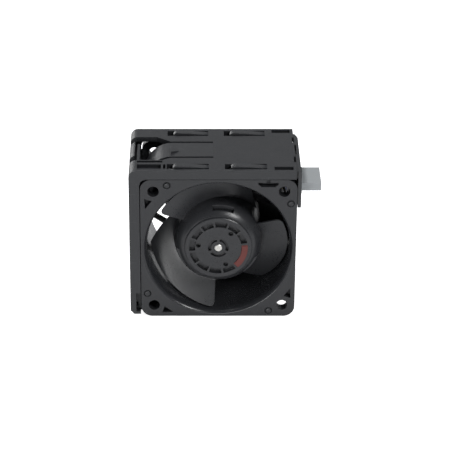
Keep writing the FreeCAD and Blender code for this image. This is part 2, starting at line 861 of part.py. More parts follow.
def top_wall_cuts():
    top = carrier_top_z
    under = top - skin - 3
    above = top + 1
    cuts = [profile_z(opening_outline(), under, above)]
    for y in (latch_front_y - slit_width, latch_back_y):
        cuts.append(box(latch_neck_x - 0.5, latch_root_x + latch_gap, y, y + slit_width, under, above))
    cuts.append(box(latch_neck_x - 0.5, latch_root_x + latch_gap, latch_front_y,
                    latch_back_y, under, above))
    for x, y in leaf_slots().values():
        cuts.append(box(x, x + slot_length, y, y + slot_width, top - skin - 1, above))
    for y in (front_window_y, back_window_y):
        cuts.append(box(window_x, window_x + window_length, y, y + window_width, top - skin, above))
    cuts.append(box(tray_left_x, opening_front_corner_x, block_groove_front_y, block_groove_back_y,
                    top - block_groove_depth, above))
    cuts.append(box(tray_left_x, tray_right_x, tray_front_y, tray_back_y, top - tray_depth, above))
    cuts.append(box(side_slot_x, side_slot_x + side_slot_length, tray_front_y + 0.4, tray_back_y,
                    top - skin, above))
    for y in edge_notches_y:
        cuts.append(box(carrier_right_x - edge_notch_depth, carrier_right_x + 1,
                        y, y + edge_notch_length, under, above))
    return cuts


def end_wall_cuts():
    """Hollow of the double end wall, the bar's notches and the hook's recess."""
    left = carrier_left_x + skin
    fan_left = -fan_side / 2 - fit_gap
    front = carrier_front_y + lip_depth
    back = carrier_back_y - lip_depth
    top = carrier_top_z
    cuts = [box(left, fan_left - inner_wall, front, back, carrier_bottom_z + skin, top - skin)]
    for y0, y1 in ((opening_front_y, bar_front_y), (bar_back_y, opening_back_y)):
        cuts.append(box(carrier_left_x - 1, left, y0, y1, top - bar_notch_depth, top + 1))
    cuts.append(box(fan_left - inner_wall - 0.1, fan_left + 1, inner_wall_back_y, back,
                    hook_bottom_z + 52.0, top - skin))
    cuts.append(box(fan_left - hook_width, fan_left + 1, carrier_front_y - 1,
                    carrier_front_y + hook_depth, hook_bottom_z, hook_top_z))
    return cuts


def make_carrier():
    front, back = carrier_front_y, carrier_back_y
    fan_top = fan_side / 2 + fit_gap
    fan_left = -fan_side / 2 - fit_gap
    shell = carrier_outline(front, back)
    hollow = box(fan_left, carrier_right_x + 1, front + lip_depth, back - lip_depth,
                 fan_top - 1, carrier_top_z - skin)
    shell = shell.cut([hollow] + top_wall_cuts() + end_wall_cuts())
    inner_top = box(fan_left - inner_wall, fan_left, opening_front_y - 0.3, inner_wall_back_y,
                    carrier_top_z - skin - 1, carrier_top_z - 0.1)
    ledge_bottom = carrier_bottom_z - 0.8
    ledge = box(fan_left - 1, fan_left + under_lip_reach, flange_thickness + fit_gap,
                fan_depth - flange_thickness - fit_gap, ledge_bottom, ledge_bottom + under_lip_thickness)
    tab = box(fan_left - hook_width - 0.3, fan_left - 0.1, front + hook_tab_set_back,
              front + hook_depth + 0.2, hook_tab_bottom_z, hook_tab_top_z)
    ribs = [box(x, x + rib_thickness, front + 1, back - 1, fan_top, carrier_top_z - skin)
            for x in (latch_root_x + 1.5, window_x - 1.6)]
    key = profile_y(key_outline(-key_clearance), key_set_back, flange_thickness)
    neck_top = box(key_slot_x - key_neck_half + key_clearance, key_slot_x + key_neck_half - key_clearance,
                   key_set_back, flange_thickness, fan_top - 0.2, carrier_top_z - skin)
    shelf = [box(carrier_left_x + 0.5, fan_left - 0.2, front + 1, back - 1, z, z + rib_thickness)
             for z in (-10.0, 10.0)]
    rub_back = back - fit_gap
    rub_rib = box(fan_left - 0.2, fan_left + rub_rib_proud, rub_back - rub_rib_width, rub_back,
                  rub_rib_bottom_z, rub_rib_top_z)
    return plain_solid(fuse_all([shell, inner_top, ledge, tab, key, neck_top, rub_rib] + ribs + shelf))


def make_latch():
    """Flexing tongue: flat, then bent down to a rounded finger rest, with a wedge catch."""
    top = carrier_top_z
    t = latch_thickness
    bend_x = latch_neck_x + 0.8
    centre_z = top - latch_bend_r
    angle = math.radians(latch_bend_angle)

    def on_arc(radius, share):
        a = angle * share
        return V(bend_x - radius * math.sin(a), latch_front_y, centre_z + radius * math.cos(a))

    outer_r, inner_r = latch_bend_r, latch_bend_r - t
    tail = V(-math.cos(angle), 0, -math.sin(angle)) * latch_tail
    start = V(latch_root_x, latch_front_y, top)
    outer_end, inner_end = on_arc(outer_r, 1), on_arc(inner_r, 1)
    edges = [Part.makeLine(start, on_arc(outer_r, 0)),
             Part.Arc(on_arc(outer_r, 0), on_arc(outer_r, 0.5), outer_end).toShape(),
             Part.makeLine(outer_end, outer_end + tail),
             Part.makeLine(outer_end + tail, inner_end + tail),
             Part.makeLine(inner_end + tail, inner_end),
             Part.Arc(inner_end, on_arc(inner_r, 0.5), on_arc(inner_r, 0)).toShape(),
             Part.makeLine(on_arc(inner_r, 0), start - V(0, 0, t)),
             Part.makeLine(start - V(0, 0, t), start)]
    tongue = Part.Face(Part.Wire(edges)).extrude(V(0, latch_back_y - latch_front_y, 0))
    middle = (catch_front_y + catch_back_y) / 2
    base = [V(catch_base_x, catch_front_y, top - 0.2), V(catch_base_x, catch_back_y, top - 0.2),
            V(catch_tip_x, middle, top - 0.2)]
    wedge = Part.Face(Part.makePolygon(base + base[:1])).extrude(V(0, 0, catch_height + 0.2))
    slope = profile_y([(catch_base_x - 1, top + catch_height), (catch_tip_x + 0.5, top),
                       (catch_tip_x + 0.5, top + 3), (catch_base_x - 1, top + 3)],
                      catch_front_y - 1, catch_back_y + 1)
    return plain_solid(tongue.fuse(wedge.cut(slope)).removeSplitter())


def make_leaf(x, y):
    """Leaf spring of one slot: rooted at the right, its free end raised in a rounded bump."""
    top = carrier_top_z
    root = x + slot_length - leaf_gap
    free = x + leaf_end_gap
    crest = free + leaf_bump
    z_free = top + leaf_rise
    t = leaf_thickness
    front = y + (slot_width - leaf_width) / 2
    a = V(root, front, top)
    b = V((root + crest) / 2, front, top + leaf_rise * 0.62)
    c = V(crest, front, z_free)
    d = V(free + leaf_bump * 0.28, front, z_free - 0.25)
    e = V(free, front, z_free - t * 0.9)
    down = V(0, 0, -t)
    edges = [Part.Arc(a, b, c).toShape(), Part.Arc(c, d, e).toShape(),
             Part.makeLine(e, e + V(0.9, 0, -t * 0.55)),
             Part.Arc(e + V(0.9, 0, -t * 0.55), (b + c) * 0.5 + down, b + down).toShape(),
             Part.makeLine(b + down, a + down), Part.makeLine(a + down, a)]
    return Part.Face(Part.Wire(edges)).extrude(V(0, leaf_width, 0))


# ---- connector end -----------------------------------------------------------
def plate_inner_x():
    return carrier_right_x + plate_gap


def plug_box(grow, x0, x1):
    return box(x0, x1, plug_front_y - grow, plug_front_y + plug_width + grow,
               plug_bottom_z - grow, plug_bottom_z + plug_height + grow)


def make_connector_plate():
    """End plate with a rail that closes against the carrier, a front post and two hooks."""
    inner = plate_inner_x()
    x0 = max(inner, fan_side / 2 + fit_gap * 0.5)
    x1 = x0 + plate_thickness
    plate = box(x0, x1, plate_front_y, plate_slant_y, plate_bottom_z, plate_top_z)
    corner = edges_along(plate, V(1, 0, 0),
                         lambda p: p.y > plate_slant_y - 0.01 and p.z < plate_bottom_z + 0.01)
    plate = plate.makeChamfer(plate_chamfer, corner)
    rail = profile_z([(inner, plate_front_y), (x1, plate_front_y), (x1, plate_slant_y),
                      (inner + plate_rail_tip, plate_back_y), (inner, plate_back_y)],
                     fan_side / 2 + plate_rail_clearance, plate_top_z)
    slit = box(inner - 1, x0, plate_slit_front_y, plate_slit_back_y, plate_bottom_z, plate_top_z + 1)
    post = box(x0, x1 + plate_post_thickness, carrier_front_y, carrier_front_y + plate_post_width,
               plate_bottom_z, plate_top_z + 0.2)
    hook_top = carrier_top_z - skin - fit_gap * 0.5
    hooks = [box(carrier_right_x - plate_hook_reach, x0 + 0.5, y + fit_gap, y + edge_notch_length - fit_gap,
                 hook_top - plate_hook_thickness, hook_top) for y in edge_notches_y]
    body = fuse_all([plate, rail.cut(slit), post] + hooks)
    return plain_solid(body.cut(plug_box(0.0, x0 - 1, x1 + 1)))


def make_plug_housing():
    x0 = max(plate_inner_x(), fan_side / 2 + fit_gap * 0.5)
    body = plug_box(0.0, plug_inner_x, plug_outer_x)
    flange = plug_box(plug_flange, x0 + plate_thickness, x0 + plate_thickness + 0.8)
    back_flange = plug_box(plug_flange * 0.6, x0 - 0.9, x0)
    mouth = plug_box(-plug_wall, plug_outer_x - plug_mouth_depth, plug_outer_x + 1)
    body = fuse_all([body, flange, back_flange]).cut(mouth)
    holes = [Part.makeCylinder(lead_r, lead_grip(), V(plug_inner_x, y, plug_middle_z()), V(1, 0, 0))
             for y in contact_ys()]
    slots = [box(plug_outer_x - 3.4, plug_outer_x - 1.6, y - 0.45, y + 0.45,
                 plug_bottom_z + plug_height - plug_wall - 0.1, plug_bottom_z + plug_height + 1)
             for y in contact_ys()]
    return plain_solid(body.cut(holes + slots))


def lead_grip():
    return lead_grip_share * (plug_outer_x - plug_inner_x)


def plug_middle_z():
    return plug_bottom_z + plug_height / 2


def contact_ys():
    middle = plug_front_y + plug_width / 2
    return [middle + (k - (contact_count - 1) / 2) * contact_pitch for k in range(contact_count)]


def make_plug_contacts():
    start = plug_outer_x - plug_mouth_depth
    half = contact_width / 2
    pins = []
    for y in contact_ys():
        z = plug_middle_z()
        pin = box(start, start + contact_length, y - half, y + half, z - half, z + half)
        ends = [edge for edge in pin.Edges if edge.CenterOfMass.x > start + contact_length - 0.01]
        pins.append(pin.makeChamfer(half * 0.5, ends))
    return Part.makeCompound(pins)


def lead_points(k):
    """Corners of one lead's route, from the board's pad to the plug."""
    across = (k - (contact_count - 1) / 2) * lead_pitch
    side = polar(across, lead_arm_angle + 90)
    pad_r = board_outer_r() - lead_pad_from_rim
    pad = polar(pad_r, lead_arm_angle, board_y + board_thickness) + side
    lift = polar(pad_r, lead_arm_angle, lead_run_y) + side
    out = polar(lead_turn_r, lead_arm_angle, lead_run_y) + side
    y = contact_ys()[k]
    ahead = V(out.x, y, out.z)
    rise = V(lead_rise_x, y, plug_middle_z())
    end = V(plug_inner_x + lead_grip(), y, plug_middle_z())
    return [pad, lift, out, ahead, rise, end]


def rounded_path(points):
    """Straight runs joined by tangent arcs."""
    edges = []
    start = points[0]
    for before, corner, after in zip(points, points[1:], points[2:]):
        back = (before - corner)
        ahead = (after - corner)
        half = ahead.getAngle(back) / 2
        reach = bend_share * min(back.Length, ahead.Length)
        back.normalize()
        ahead.normalize()
        first = corner + back * reach
        last = corner + ahead * reach
        bisector = (back + ahead)
        bisector.normalize()
        radius = reach * math.tan(half)
        centre = corner + bisector * (radius / math.sin(half))
        middle = centre - bisector * radius
        edges.append(Part.makeLine(start, first))
        edges.append(Part.Arc(first, middle, last).toShape())
        start = last
        print("   lead bend radius %.2f mm" % radius)
    edges.append(Part.makeLine(start, points[-1]))
    return Part.Wire(edges)


def make_lead(k):
    path = rounded_path(lead_points(k))
    start = path.Edges[0]
    heading = start.tangentAt(start.FirstParameter)
    across = heading.cross(AXIS if abs(heading.y) < 0.9 else V(1, 0, 0))
    across.normalize()
    spin = FreeCAD.Rotation(heading, 360.0 / lead_sides)
    middle = start.valueAt(start.FirstParameter)
    spokes = [across * lead_r]
    for side in range(lead_sides - 1):
        spokes.append(spin.multVec(spokes[-1]))
    section = Part.makePolygon([middle + spoke for spoke in spokes + spokes[:1]])
    tube = path.makePipeShell([section], True, True)
    length = path.Length
    print("   lead %d: length %.1f mm" % (k, length))
    return tube.Solids[0]


# ---- export ------------------------------------------------------------------
def all_nodes():
    nodes = {
        "carrier_shell": make_carrier(),
        "latch_tongue": make_latch(),
        "fan_frame": make_fan_frame(),
        "guide_vanes": make_guide_vanes(),
        "impeller": make_impeller(),
        "balance_putty": make_balance_putty(),
        "rotor_yoke": make_rotor_yoke(),
        "magnet_ring": make_magnet_ring(),
        "shaft": make_shaft(),
        "retaining_clip": make_retaining_clip(),
        "preload_spring": make_preload_spring(),
        "bearing_outer_rings": make_bearing_outer_rings(),
        "bearing_inner_rings": make_bearing_inner_rings(),
        "front_bearing_balls": make_balls(front_bearing_y),
        "rear_bearing_balls": make_balls(rear_bearing_y),
        "bearing_tube": make_bearing_tube(),
        "stator_core": make_stator_core(),
        "front_insulator": make_front_insulator(),
        "rear_insulator": make_rear_insulator(),
        "windings": make_windings(),
        "circuit_board": make_circuit_board(),
        "driver_chip": make_driver_chip(),
        "hall_sensor": make_hall_sensor(),
        "capacitors": make_capacitors(),
        "connector_plate": make_connector_plate(),
        "plug_housing": make_plug_housing(),
        "plug_contacts": make_plug_contacts(),
    }
    for place, (x, y) in leaf_slots().items():
        nodes["leaf_spring_" + place] = make_leaf(x, y)
    for k, colour in enumerate(("black", "blue", "yellow", "red")):
        nodes["lead_" + colour] = make_lead(k)
    return nodes


def origin_shift():
    """Moves the middle of the module's underside to the origin."""
    middle_x = (carrier_left_x + plug_outer_x) / 2
    middle_y = (carrier_front_y - (boss_height + carrier_front_y if boss_height > -carrier_front_y else 0)
                + fan_depth) / 2
    return V(-middle_x, -middle_y, fan_side / 2)


def main():
    os.makedirs("parts", exist_ok=True)
    shift = origin_shift()
    for name, shape in all_nodes().items():
        shape.translate(shift)
        shape.exportStep("parts/" + name + ".step")
        size = shape.BoundBox
        print("%-24s solids %2d valid %s volume %9.2f  x %.2f..%.2f y %.2f..%.2f z %.2f..%.2f" %
              (name, len(shape.Solids), shape.isValid(), shape.Volume, size.XMin, size.XMax,
               size.YMin, size.YMax, size.ZMin, size.ZMax))


main()
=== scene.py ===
# %% [markdown]
# # A server fan module
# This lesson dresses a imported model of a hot-swap server fan: a square axial fan that lies in a black
# latch carrier, with a pale plug at its other end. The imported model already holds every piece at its
# right size and place, so the lesson adds rounded edges, real blade surfaces and finishes.

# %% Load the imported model
import json
import math

import bmesh
import bpy
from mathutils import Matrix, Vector


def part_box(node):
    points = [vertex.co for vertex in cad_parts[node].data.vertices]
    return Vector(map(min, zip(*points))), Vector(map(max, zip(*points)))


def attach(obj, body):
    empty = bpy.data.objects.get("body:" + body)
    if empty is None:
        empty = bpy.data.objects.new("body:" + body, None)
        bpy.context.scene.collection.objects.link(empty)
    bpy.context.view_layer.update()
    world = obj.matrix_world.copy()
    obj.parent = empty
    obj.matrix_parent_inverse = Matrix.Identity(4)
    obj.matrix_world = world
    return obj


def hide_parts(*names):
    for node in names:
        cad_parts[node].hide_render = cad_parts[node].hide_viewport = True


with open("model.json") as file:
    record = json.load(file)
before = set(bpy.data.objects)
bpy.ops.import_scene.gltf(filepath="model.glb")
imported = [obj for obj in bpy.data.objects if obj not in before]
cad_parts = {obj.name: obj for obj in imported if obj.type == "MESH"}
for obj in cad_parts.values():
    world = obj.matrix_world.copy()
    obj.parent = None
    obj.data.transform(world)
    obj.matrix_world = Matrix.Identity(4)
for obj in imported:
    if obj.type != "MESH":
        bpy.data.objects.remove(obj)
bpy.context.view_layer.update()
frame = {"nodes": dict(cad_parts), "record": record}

record = frame["record"]

# %% [markdown]
# Everything in the fan turns round one axis, so most sizes here are told from it, in millimetres. The
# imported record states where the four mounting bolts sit, and the middle of that pattern is the centre
# of the inlet face. The air runs along +Y.

# %% The fan's axis
MM = 0.001
bolts = next(m for m in record["mounts"] if m["name"] == "fan_bolts")
INLET = Vector(bolts["pos_m"])
body_of_node = {n: b for b, members in record["behaviour"]["bodies"].items() for n in members}
print("middle of the inlet face:", tuple(round(c, 5) for c in INLET))

# %% [markdown]
# The camera stands straight in front of the fan and looks down at 28 degrees, from far away with a
# long lens. A small shift keeps the module where it should be in the frame without turning the
# camera.

# %% Camera
CAMERA_PLACE = (-0.012221, -0.64782, 0.379516)
LOOK_DOWN = 28.311
camera_data = bpy.data.cameras.new("camera")
camera = bpy.data.objects.new("camera", camera_data)
bpy.context.scene.collection.objects.link(camera)
camera.location = CAMERA_PLACE
camera.rotation_euler = (math.radians(90 - LOOK_DOWN), 0, 0)
camera_data.sensor_width = 36
camera_data.lens = 148.95
camera_data.shift_x = 0.0701
camera_data.clip_start, camera_data.clip_end = 0.01, 20
bpy.context.scene.camera = camera
bpy.context.scene.view_settings.view_transform = "Standard"
print("camera looks down", round(LOOK_DOWN, 1), "degrees")

# %% [markdown]
# Black parts show mostly what they reflect, so soft area lamps stand where a surface mirrors them.
# One hangs overhead, and one high on the right shines into the duct. Two low ones in front light the
# inlet face and the plug, and two behind draw the edges of the top wall.

# %% Lamps
AIM = Vector((0, 0, 0.03))
LAMPS = (("overhead_spot", (-0.20, 0.02, 0.85), (0.14, 0.14), 3.8),
         ("high_right_box", (0.44, -0.42, 0.62), (0.26, 0.26), 3.4),
         ("low_front_box", (0.0, -0.80, 0.09), (0.34, 0.14), 0.85),
         ("low_left_box", (-0.35, -0.82, 0.09), (0.24, 0.14), 1.5),
         ("back_strip", (-0.1, 0.75, 0.42), (0.9, 0.2), 0.5),
         ("rim_strip", (-0.50, 0.62, 0.16), (0.5, 0.25), 1.7))


def lamp(name, place, size, watts):
    """A rectangular area lamp that looks at the middle of the module."""
    data = bpy.data.lights.new(name, "AREA")
    data.shape = "RECTANGLE"
    data.size, data.size_y = size
    data.energy = watts
    obj = bpy.data.objects.new(name, data)
    bpy.context.scene.collection.objects.link(obj)
    obj.location = place
    obj.rotation_euler = (AIM - Vector(place)).to_track_quat("-Z", "Y").to_euler()


for name, place, size, watts in LAMPS:
    lamp(name, place, size, watts)
print("lamps:", [name for name, *rest in LAMPS])

# %% [markdown]
# The world is a dim bluish grey for the parts, a little brighter at the horizon than overhead, so that
# upright faces don't sink into black. It is white only where the camera sees it.

# %% World
HORIZON, ZENITH, ZENITH_HEIGHT = 0.16, 0.08, 0.95
world = bpy.data.worlds.new("studio")
bpy.context.scene.world = world
world.use_nodes = True
sky = world.node_tree.nodes
links = world.node_tree.links
backdrop = sky["Background"]
backdrop.inputs["Color"].default_value = (0.89, 0.94, 1.0, 1)
rays = sky.new("ShaderNodeLightPath")
pick = sky.new("ShaderNodeMix")
pick.data_type = "FLOAT"
pick.inputs["B"].default_value = 1.0
heading = sky.new("ShaderNodeSeparateXYZ")
links.new(sky.new("ShaderNodeTexCoord").outputs["Object"], heading.inputs[0])
fade = sky.new("ShaderNodeMapRange")
for label, value in (("From Min", 0.0), ("From Max", ZENITH_HEIGHT), ("To Min", HORIZON), ("To Max", ZENITH)):
    fade.inputs[label].default_value = value
links.new(heading.outputs["Z"], fade.inputs["Value"])
links.new(fade.outputs["Result"], pick.inputs["A"])
links.new(rays.outputs["Is Camera Ray"], pick.inputs["Factor"])
links.new(pick.outputs["Result"], backdrop.inputs["Strength"])
print("world strength from", HORIZON, "at the horizon to", ZENITH, "overhead")

# %% [markdown]
# The floor is pale and dull, a hair under the module. It glows for the camera alone, so it reads as
# white round the shadow while its light on the module stays plain.

# %% Floor
FLOOR_REACH, FLOOR_Z, FLOOR_GLOW = 4.0, -0.0002, 0.9
floor_mesh = bpy.data.meshes.new("floor")
floor_corners = [(x * FLOOR_REACH, y * FLOOR_REACH, FLOOR_Z) for x, y in ((-1, -1), (1, -1), (1, 1), (-1, 1))]
floor_mesh.from_pydata(floor_corners, [], [(0, 1, 2, 3)])
floor = bpy.data.objects.new("floor", floor_mesh)
bpy.context.scene.collection.objects.link(floor)
floor_material = bpy.data.materials.new("pale_floor")
floor_material.use_nodes = True
floor_nodes = floor_material.node_tree.nodes
floor_links = floor_material.node_tree.links
floor_shader = floor_nodes["Principled BSDF"]
floor_shader.inputs["Base Color"].default_value = (0.84, 0.84, 0.85, 1)
floor_shader.inputs["Roughness"].default_value = 0.8
floor_shader.inputs["Specular IOR Level"].default_value = 0.0
floor_shader.inputs["Emission Color"].default_value = (1, 1, 1, 1)
floor_rays = floor_nodes.new("ShaderNodeLightPath")
floor_glow = floor_nodes.new("ShaderNodeMath")
floor_glow.operation = "MULTIPLY"
floor_glow.inputs[1].default_value = FLOOR_GLOW
floor_links.new(floor_rays.outputs["Is Camera Ray"], floor_glow.inputs[0])
floor_links.new(floor_glow.outputs[0], floor_shader.inputs["Emission Strength"])
floor_mesh.materials.append(floor_material)
print("floor reaches", FLOOR_REACH, "m each way")

# %% [markdown]
# ## Finishes
# Some effects come back in several finishes, so each is built once as a node group with named inputs
# and outputs, and placed in every material that needs it. These helpers add the nodes that all of them
# use.

# %% Helpers for node groups


def group_with(name, inputs, outputs):
    """An empty shader group with named sockets; returns it with its ends."""
    group = bpy.data.node_groups.new(name, "ShaderNodeTree")
    for label, kind, value in inputs:
        socket = group.interface.new_socket(name=label, in_out="INPUT", socket_type=kind)
        if value is not None:
            socket.default_value = value
    for label, kind in outputs:
        group.interface.new_socket(name=label, in_out="OUTPUT", socket_type=kind)
    start = group.nodes.new("NodeGroupInput")
    end = group.nodes.new("NodeGroupOutput")
    return group, start, end


def feed(tree, socket, value):
    """Link a socket, or set its value."""
    if isinstance(value, bpy.types.NodeSocket):
        tree.links.new(value, socket)
    else:
        socket.default_value = value


def math_node(tree, operation, *values, clamp=False):
    node = tree.nodes.new("ShaderNodeMath")
    node.operation = operation
    node.use_clamp = clamp
    for socket, value in zip(node.inputs, values):
        feed(tree, socket, value)
    return node.outputs[0]


def noise(tree, vector, scale, detail=2.0, roughness=0.5):
    node = tree.nodes.new("ShaderNodeTexNoise")
    feed(tree, node.inputs["Vector"], vector)
    feed(tree, node.inputs["Scale"], scale)
    node.inputs["Detail"].default_value = detail
    node.inputs["Roughness"].default_value = roughness
    return node.outputs["Fac"]


def mix_colour(tree, factor, first, second, blend="MIX"):
    node = tree.nodes.new("ShaderNodeMix")
    node.data_type = "RGBA"
    node.blend_type = blend
    sockets = [s for s in node.inputs if s.type == "RGBA"]
    feed(tree, node.inputs[0], factor)
    feed(tree, sockets[0], first)
    feed(tree, sockets[1], second)
    return next(s for s in node.outputs if s.type == "RGBA")


# %% [markdown]
# `moulded_skin` is the skin of a plastic moulding: a fine grain left by the etched mould, slow clouds of
# lighter and darker colour, and a little dust. It puts out a colour, a roughness and a height.

# %% Node group: moulded plastic skin
DUST_SCALE, SPECK_LIMIT, DUST_COLOUR = 900.0, 0.66, (0.16, 0.155, 0.145, 1)
DARK_SHARE, LIGHT_TINT, LIGHT_SHARE = (0.8, 0.8, 0.81, 1), (0.55, 0.56, 0.58, 1), 0.02
GRAIN_GLOSS, CLOUD_GLOSS = 0.22, 0.12
skin, skin_in, skin_out = group_with("moulded_skin", [
    ("Vector", "NodeSocketVector", None), ("Colour", "NodeSocketColor", (0.04, 0.04, 0.04, 1)),
    ("Grain Scale", "NodeSocketFloat", 2600.0), ("Cloud Scale", "NodeSocketFloat", 110.0),
    ("Cloud Depth", "NodeSocketFloat", 0.25), ("Base Roughness", "NodeSocketFloat", 0.5),
    ("Dust", "NodeSocketFloat", 0.08)],
    [("Colour", "NodeSocketColor"), ("Roughness", "NodeSocketFloat"), ("Height", "NodeSocketFloat")])
grain = noise(skin, skin_in.outputs["Vector"], skin_in.outputs["Grain Scale"], 3.0, 0.6)
cloud = noise(skin, skin_in.outputs["Vector"], skin_in.outputs["Cloud Scale"], 4.0, 0.6)
dust = noise(skin, skin_in.outputs["Vector"], DUST_SCALE, 6.0, 0.75)
centred = math_node(skin, "SUBTRACT", cloud, 0.5)
shade = math_node(skin, "MULTIPLY_ADD", centred, skin_in.outputs["Cloud Depth"], 0.5)
dark = mix_colour(skin, 1.0, skin_in.outputs["Colour"], DARK_SHARE, "MULTIPLY")
light = mix_colour(skin, LIGHT_SHARE, skin_in.outputs["Colour"], LIGHT_TINT, "SCREEN")
body_colour = mix_colour(skin, shade, dark, light)
specks = math_node(skin, "GREATER_THAN", dust, SPECK_LIMIT)
speck_share = math_node(skin, "MULTIPLY", specks, skin_in.outputs["Dust"])
dusty = mix_colour(skin, speck_share, body_colour, DUST_COLOUR)
grain_share = math_node(skin, "MULTIPLY_ADD", math_node(skin, "SUBTRACT", grain, 0.5), GRAIN_GLOSS,
                        skin_in.outputs["Base Roughness"])
rough = math_node(skin, "MULTIPLY_ADD", centred, CLOUD_GLOSS, grain_share, clamp=True)
skin.links.new(dusty, skin_out.inputs["Colour"])
skin.links.new(rough, skin_out.inputs["Roughness"])
skin.links.new(grain, skin_out.inputs["Height"])
print("group", skin.name, "has", len(skin.nodes), "nodes")

# %% [markdown]
# `handling_marks` is what sliding in and out of a bay leaves on plastic: long faint scratches along
# one direction, paler than the skin and cut slightly into it. The noise is stretched by a Mapping
# node, so that each mark is long and thin.

# %% Node group: handling marks


def above(tree, value, limit, gain):
    """How far a value lies above a limit, times a gain, kept between 0 and 1."""
    return math_node(tree, "MULTIPLY", math_node(tree, "SUBTRACT", value, limit), gain, clamp=True)


STREAK_LIMIT, STREAK_GAIN, PATCH_LIMIT, PATCH_GAIN = 0.60, 9.0, 0.48, 6.0
marks, marks_in, marks_out = group_with("handling_marks", [
    ("Vector", "NodeSocketVector", None), ("Amount", "NodeSocketFloat", 0.5),
    ("Stretch", "NodeSocketVector", (0.05, 1.0, 1.0))],
    [("Mask", "NodeSocketFloat"), ("Height", "NodeSocketFloat")])
stretch = marks.nodes.new("ShaderNodeMapping")
marks.links.new(marks_in.outputs["Vector"], stretch.inputs["Vector"])
marks.links.new(marks_in.outputs["Stretch"], stretch.inputs["Scale"])
streak = noise(marks, stretch.outputs["Vector"], 3000.0, 2.0, 0.5)
patch = noise(marks, marks_in.outputs["Vector"], 160.0, 2.0, 0.5)
thin = above(marks, streak, STREAK_LIMIT, STREAK_GAIN)
where = above(marks, patch, PATCH_LIMIT, PATCH_GAIN)
mask = math_node(marks, "MULTIPLY", math_node(marks, "MULTIPLY", thin, where), marks_in.outputs["Amount"])
marks.links.new(mask, marks_out.inputs["Mask"])
marks.links.new(math_node(marks, "MULTIPLY", mask, -1.0), marks_out.inputs["Height"])
print("group", marks.name, "has", len(marks.nodes), "nodes")

# %% [markdown]
# `lathe_rings` is the finish of turned metal: fine rings round the fan's axis. The distance from the
# axis drives a wave, with a little noise so that no two rings are the same.

# %% Node group: lathe rings


def axis_distance(tree, vector):
    """Distance from the fan's axis, for a vector that starts on that axis."""
    split = tree.nodes.new("ShaderNodeSeparateXYZ")
    tree.links.new(vector, split.inputs[0])
    across = math_node(tree, "MULTIPLY", split.outputs["X"], split.outputs["X"])
    upward = math_node(tree, "MULTIPLY", split.outputs["Z"], split.outputs["Z"])
    return math_node(tree, "SQRT", math_node(tree, "ADD", across, upward))


rings, rings_in, rings_out = group_with("lathe_rings", [
    ("Vector", "NodeSocketVector", None), ("Spacing", "NodeSocketFloat", 9000.0)],
    [("Mask", "NodeSocketFloat"), ("Height", "NodeSocketFloat")])
distance = axis_distance(rings, rings_in.outputs["Vector"])
wobble = noise(rings, rings_in.outputs["Vector"], 700.0, 2.0)
even_phase = math_node(rings, "MULTIPLY", distance, rings_in.outputs["Spacing"])
phase = math_node(rings, "MULTIPLY_ADD", wobble, 2.5, even_phase)
wave = math_node(rings, "MULTIPLY_ADD", math_node(rings, "SINE", phase), 0.5, 0.5)
rings.links.new(wave, rings_out.inputs["Mask"])
rings.links.new(wave, rings_out.inputs["Height"])
print("group", rings.name, "has", len(rings.nodes), "nodes")

# %% [markdown]
# Each material keeps its own Principled shader and places the groups it needs. Object coordinates
# run in metres from the model's origin, so a pattern has the same scale on every piece, and a
# Mapping node moves the turned finishes onto the fan's axis.

# %% Helpers for materials


def new_material(name):
    material = bpy.data.materials.new(name)
    material.use_nodes = True
    tree = material.node_tree
    coordinates = tree.nodes.new("ShaderNodeTexCoord").outputs["Object"]
    return material, tree, tree.nodes["Principled BSDF"], coordinates


def place_group(tree, group, vector, **values):
    """A group in a material; its inputs are named with _ for each space."""
    node = tree.nodes.new("ShaderNodeGroup")
    node.node_tree = group
    tree.links.new(vector, node.inputs["Vector"])
    for label, value in values.items():
        node.inputs[label.replace("_", " ")].default_value = value
    return node


def bump(tree, shader, height, strength, distance):
    node = tree.nodes.new("ShaderNodeBump")
    node.inputs["Strength"].default_value = strength
    node.inputs["Distance"].default_value = distance
    tree.links.new(height, node.inputs["Height"])
    tree.links.new(node.outputs["Normal"], shader.inputs["Normal"])


def centred_on_axis(tree, coordinates):
    centre = tree.nodes.new("ShaderNodeMapping")
    centre.inputs["Location"].default_value = (-INLET.x, 0, -INLET.z)
    tree.links.new(coordinates, centre.inputs["Vector"])
    return centre.outputs["Vector"]


# %% [markdown]
# The mouldings share one kind of skin, but each has its own tone and gloss. The carrier, its springs and
# the end plate are handled, so they have marks. The inlet's mouth is glossier than the flange round it,
# so the housing's roughness drops inside that radius.

# %% Materials: plastics
CARRIER_TONE = (0.0185, 0.0197, 0.0225)
MARK_COLOUR = (0.075, 0.075, 0.08, 1)
MOUTH_R, MOUTH_POLISH = 29.35, 0.19
SKIN_DEPTH = 0.05 * MM


